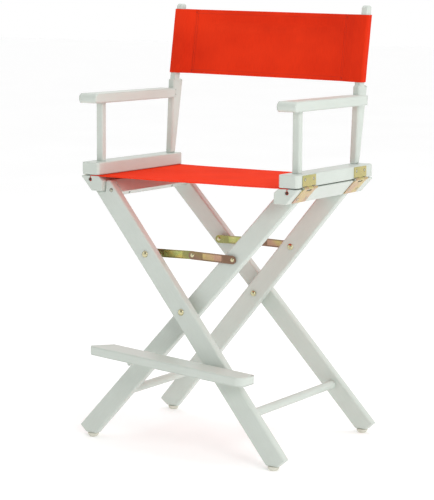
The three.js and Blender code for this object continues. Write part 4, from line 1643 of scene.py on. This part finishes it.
@dataclass
class Studio:
    """The pale floor, the soft lights and the camera."""

    azimuth: float = math.radians(31.888)
    elevation: float = math.radians(7.976)
    roll: float = math.radians(0.358)
    distance: float = 4.2094
    target: tuple[float, float, float] = (-0.00785, -0.00612, 0.44239)
    lens: float = 131.384
    world_strength: float = 1.0
    dark_side: float = 0.34
    floor_half: float = 30.0
    floor_glow: float = 0.17

    def build_world(self) -> None:
        """Sets a white surrounding, darker behind the camera, and a plain view of colours."""
        scene = bpy.context.scene
        scene.world = bpy.data.worlds.new("white_room")
        scene.world.use_nodes = True
        backdrop = scene.world.node_tree.nodes["Background"]
        graph = Graph(scene.world.node_tree)
        towards = graph.add("SeparateXYZ", {0: graph.add("TexCoord").outputs["Generated"]})
        shade = graph.between(towards.outputs[1], -0.75, -0.15, (self.dark_side, 1.0))
        grey = graph.add("CombineColor", {0: shade, 1: shade, 2: shade}).outputs[0]
        graph.feed_all(backdrop, {"Color": grey, "Strength": self.world_strength})
        scene.view_settings.view_transform = "Standard"

    def build_floor(self) -> None:
        """Lays the floor, which keeps to the height of the lowest glide as the legs fold."""
        mesh = bmesh.new()
        bmesh.ops.create_grid(mesh, x_segments=8, y_segments=8, size=self.floor_half)
        data = bpy.data.meshes.new("studio_floor")
        mesh.to_mesh(data)
        mesh.free()
        floor = new_object("studio_floor", data)
        material, graph, shader = new_material("floor_pale")
        place = graph.add("TexCoord").outputs["Object"]
        cloud = graph.between(graph.noise(place, 1.5, 3.0), 0.3, 0.7, (0.0, 1.0))
        colour = graph.blend(cloud, (0.97, 0.97, 0.97, 1.0), (0.94, 0.94, 0.94, 1.0))
        below = graph.add("NewGeometry").outputs["Backfacing"]
        looks = {"Base Color": colour, "Roughness": 0.9, "Specular IOR Level": 0.1}
        looks.update({"Emission Color": (1.0,) * 4, "Emission Strength": self.floor_glow})
        looks["Alpha"] = graph.math("SUBTRACT", 1.0, below)
        graph.feed_all(shader, looks)
        data.materials.append(material)
        low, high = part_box("outer_glide_front")
        marker = new_object("floor_level", None)
        marker.location = ((low.x + high.x) / 2, (low.y + high.y) / 2, low.z)
        marker.hide_render = True
        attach(marker, "outer_legs")
        level = floor.constraints.new("COPY_LOCATION")
        level.target = marker
        level.use_x = False
        level.use_y = False

    def add_softbox(self, name: str, place: Vector, size: float, power: float) -> None:
        """Hangs a soft square light that faces the middle of the chair.

        Args:
            name: The light's name.
            place: Where it hangs.
            size: The length of its side.
            power: Its power in watts.
        """
        light = bpy.data.lights.new(name, "AREA")
        light.size = size
        light.energy = power
        lamp = new_object(name, light)
        lamp.location = place
        towards = Vector(self.target) - place
        lamp.rotation_euler = towards.to_track_quat("-Z", "Y").to_euler()

    def build_lights(self) -> None:
        """Hangs the key light, the fill and the light over the floor."""
        self.add_softbox("key", Vector((3.0, -2.0, 1.9)), 1.4, 46.0)
        self.add_softbox("fill", Vector((-2.6, -2.6, 1.4)), 1.6, 9.0)
        self.add_softbox("overhead", Vector((0.2, 0.4, 3.2)), 2.4, 16.0)

    def build_camera(self) -> None:
        """Sets the camera just above the chair's height, to the right of the front."""
        side, up = math.cos(self.elevation), math.sin(self.elevation)
        back = Vector((math.sin(self.azimuth) * side, -math.cos(self.azimuth) * side, up))
        right = Vector((math.cos(self.azimuth), math.sin(self.azimuth), 0.0))
        above = back.cross(right)
        across = right * math.cos(self.roll) + above * math.sin(self.roll)
        above = above * math.cos(self.roll) - right * math.sin(self.roll)
        data = bpy.data.cameras.new("studio_camera")
        data.lens = self.lens
        data.sensor_width = 36.0
        data.clip_end = 200.0
        camera = new_object("studio_camera", data)
        turn = Matrix((across, above, back)).transposed()
        camera.rotation_euler = turn.to_euler()
        camera.location = Vector(self.target) + back * self.distance
        bpy.context.scene.camera = camera

    def build(self) -> None:
        """Makes the whole studio."""
        self.build_world()
        self.build_floor()
        self.build_lights()
        self.build_camera()


# ---------------------------------------------------------------- the chair


def main() -> None:
    """Builds the shared effects, every sub-assembly in order, and the studio."""
    logging.basicConfig(level=logging.INFO, format="%(name)s: %(message)s")
    for make in (make_wood_grain, make_handling_marks, make_cloth_weave, make_rainbow_plating):
        make()
    for side in Side:
        LegFrame(side).build()
        ArmFrame(side).build()
    Braces().build()
    CentrePivots().build()
    Footrest().build()
    SeatCloth().build()
    BackCloth().build()
    Studio().build()


if __name__ == "__main__":
    main()
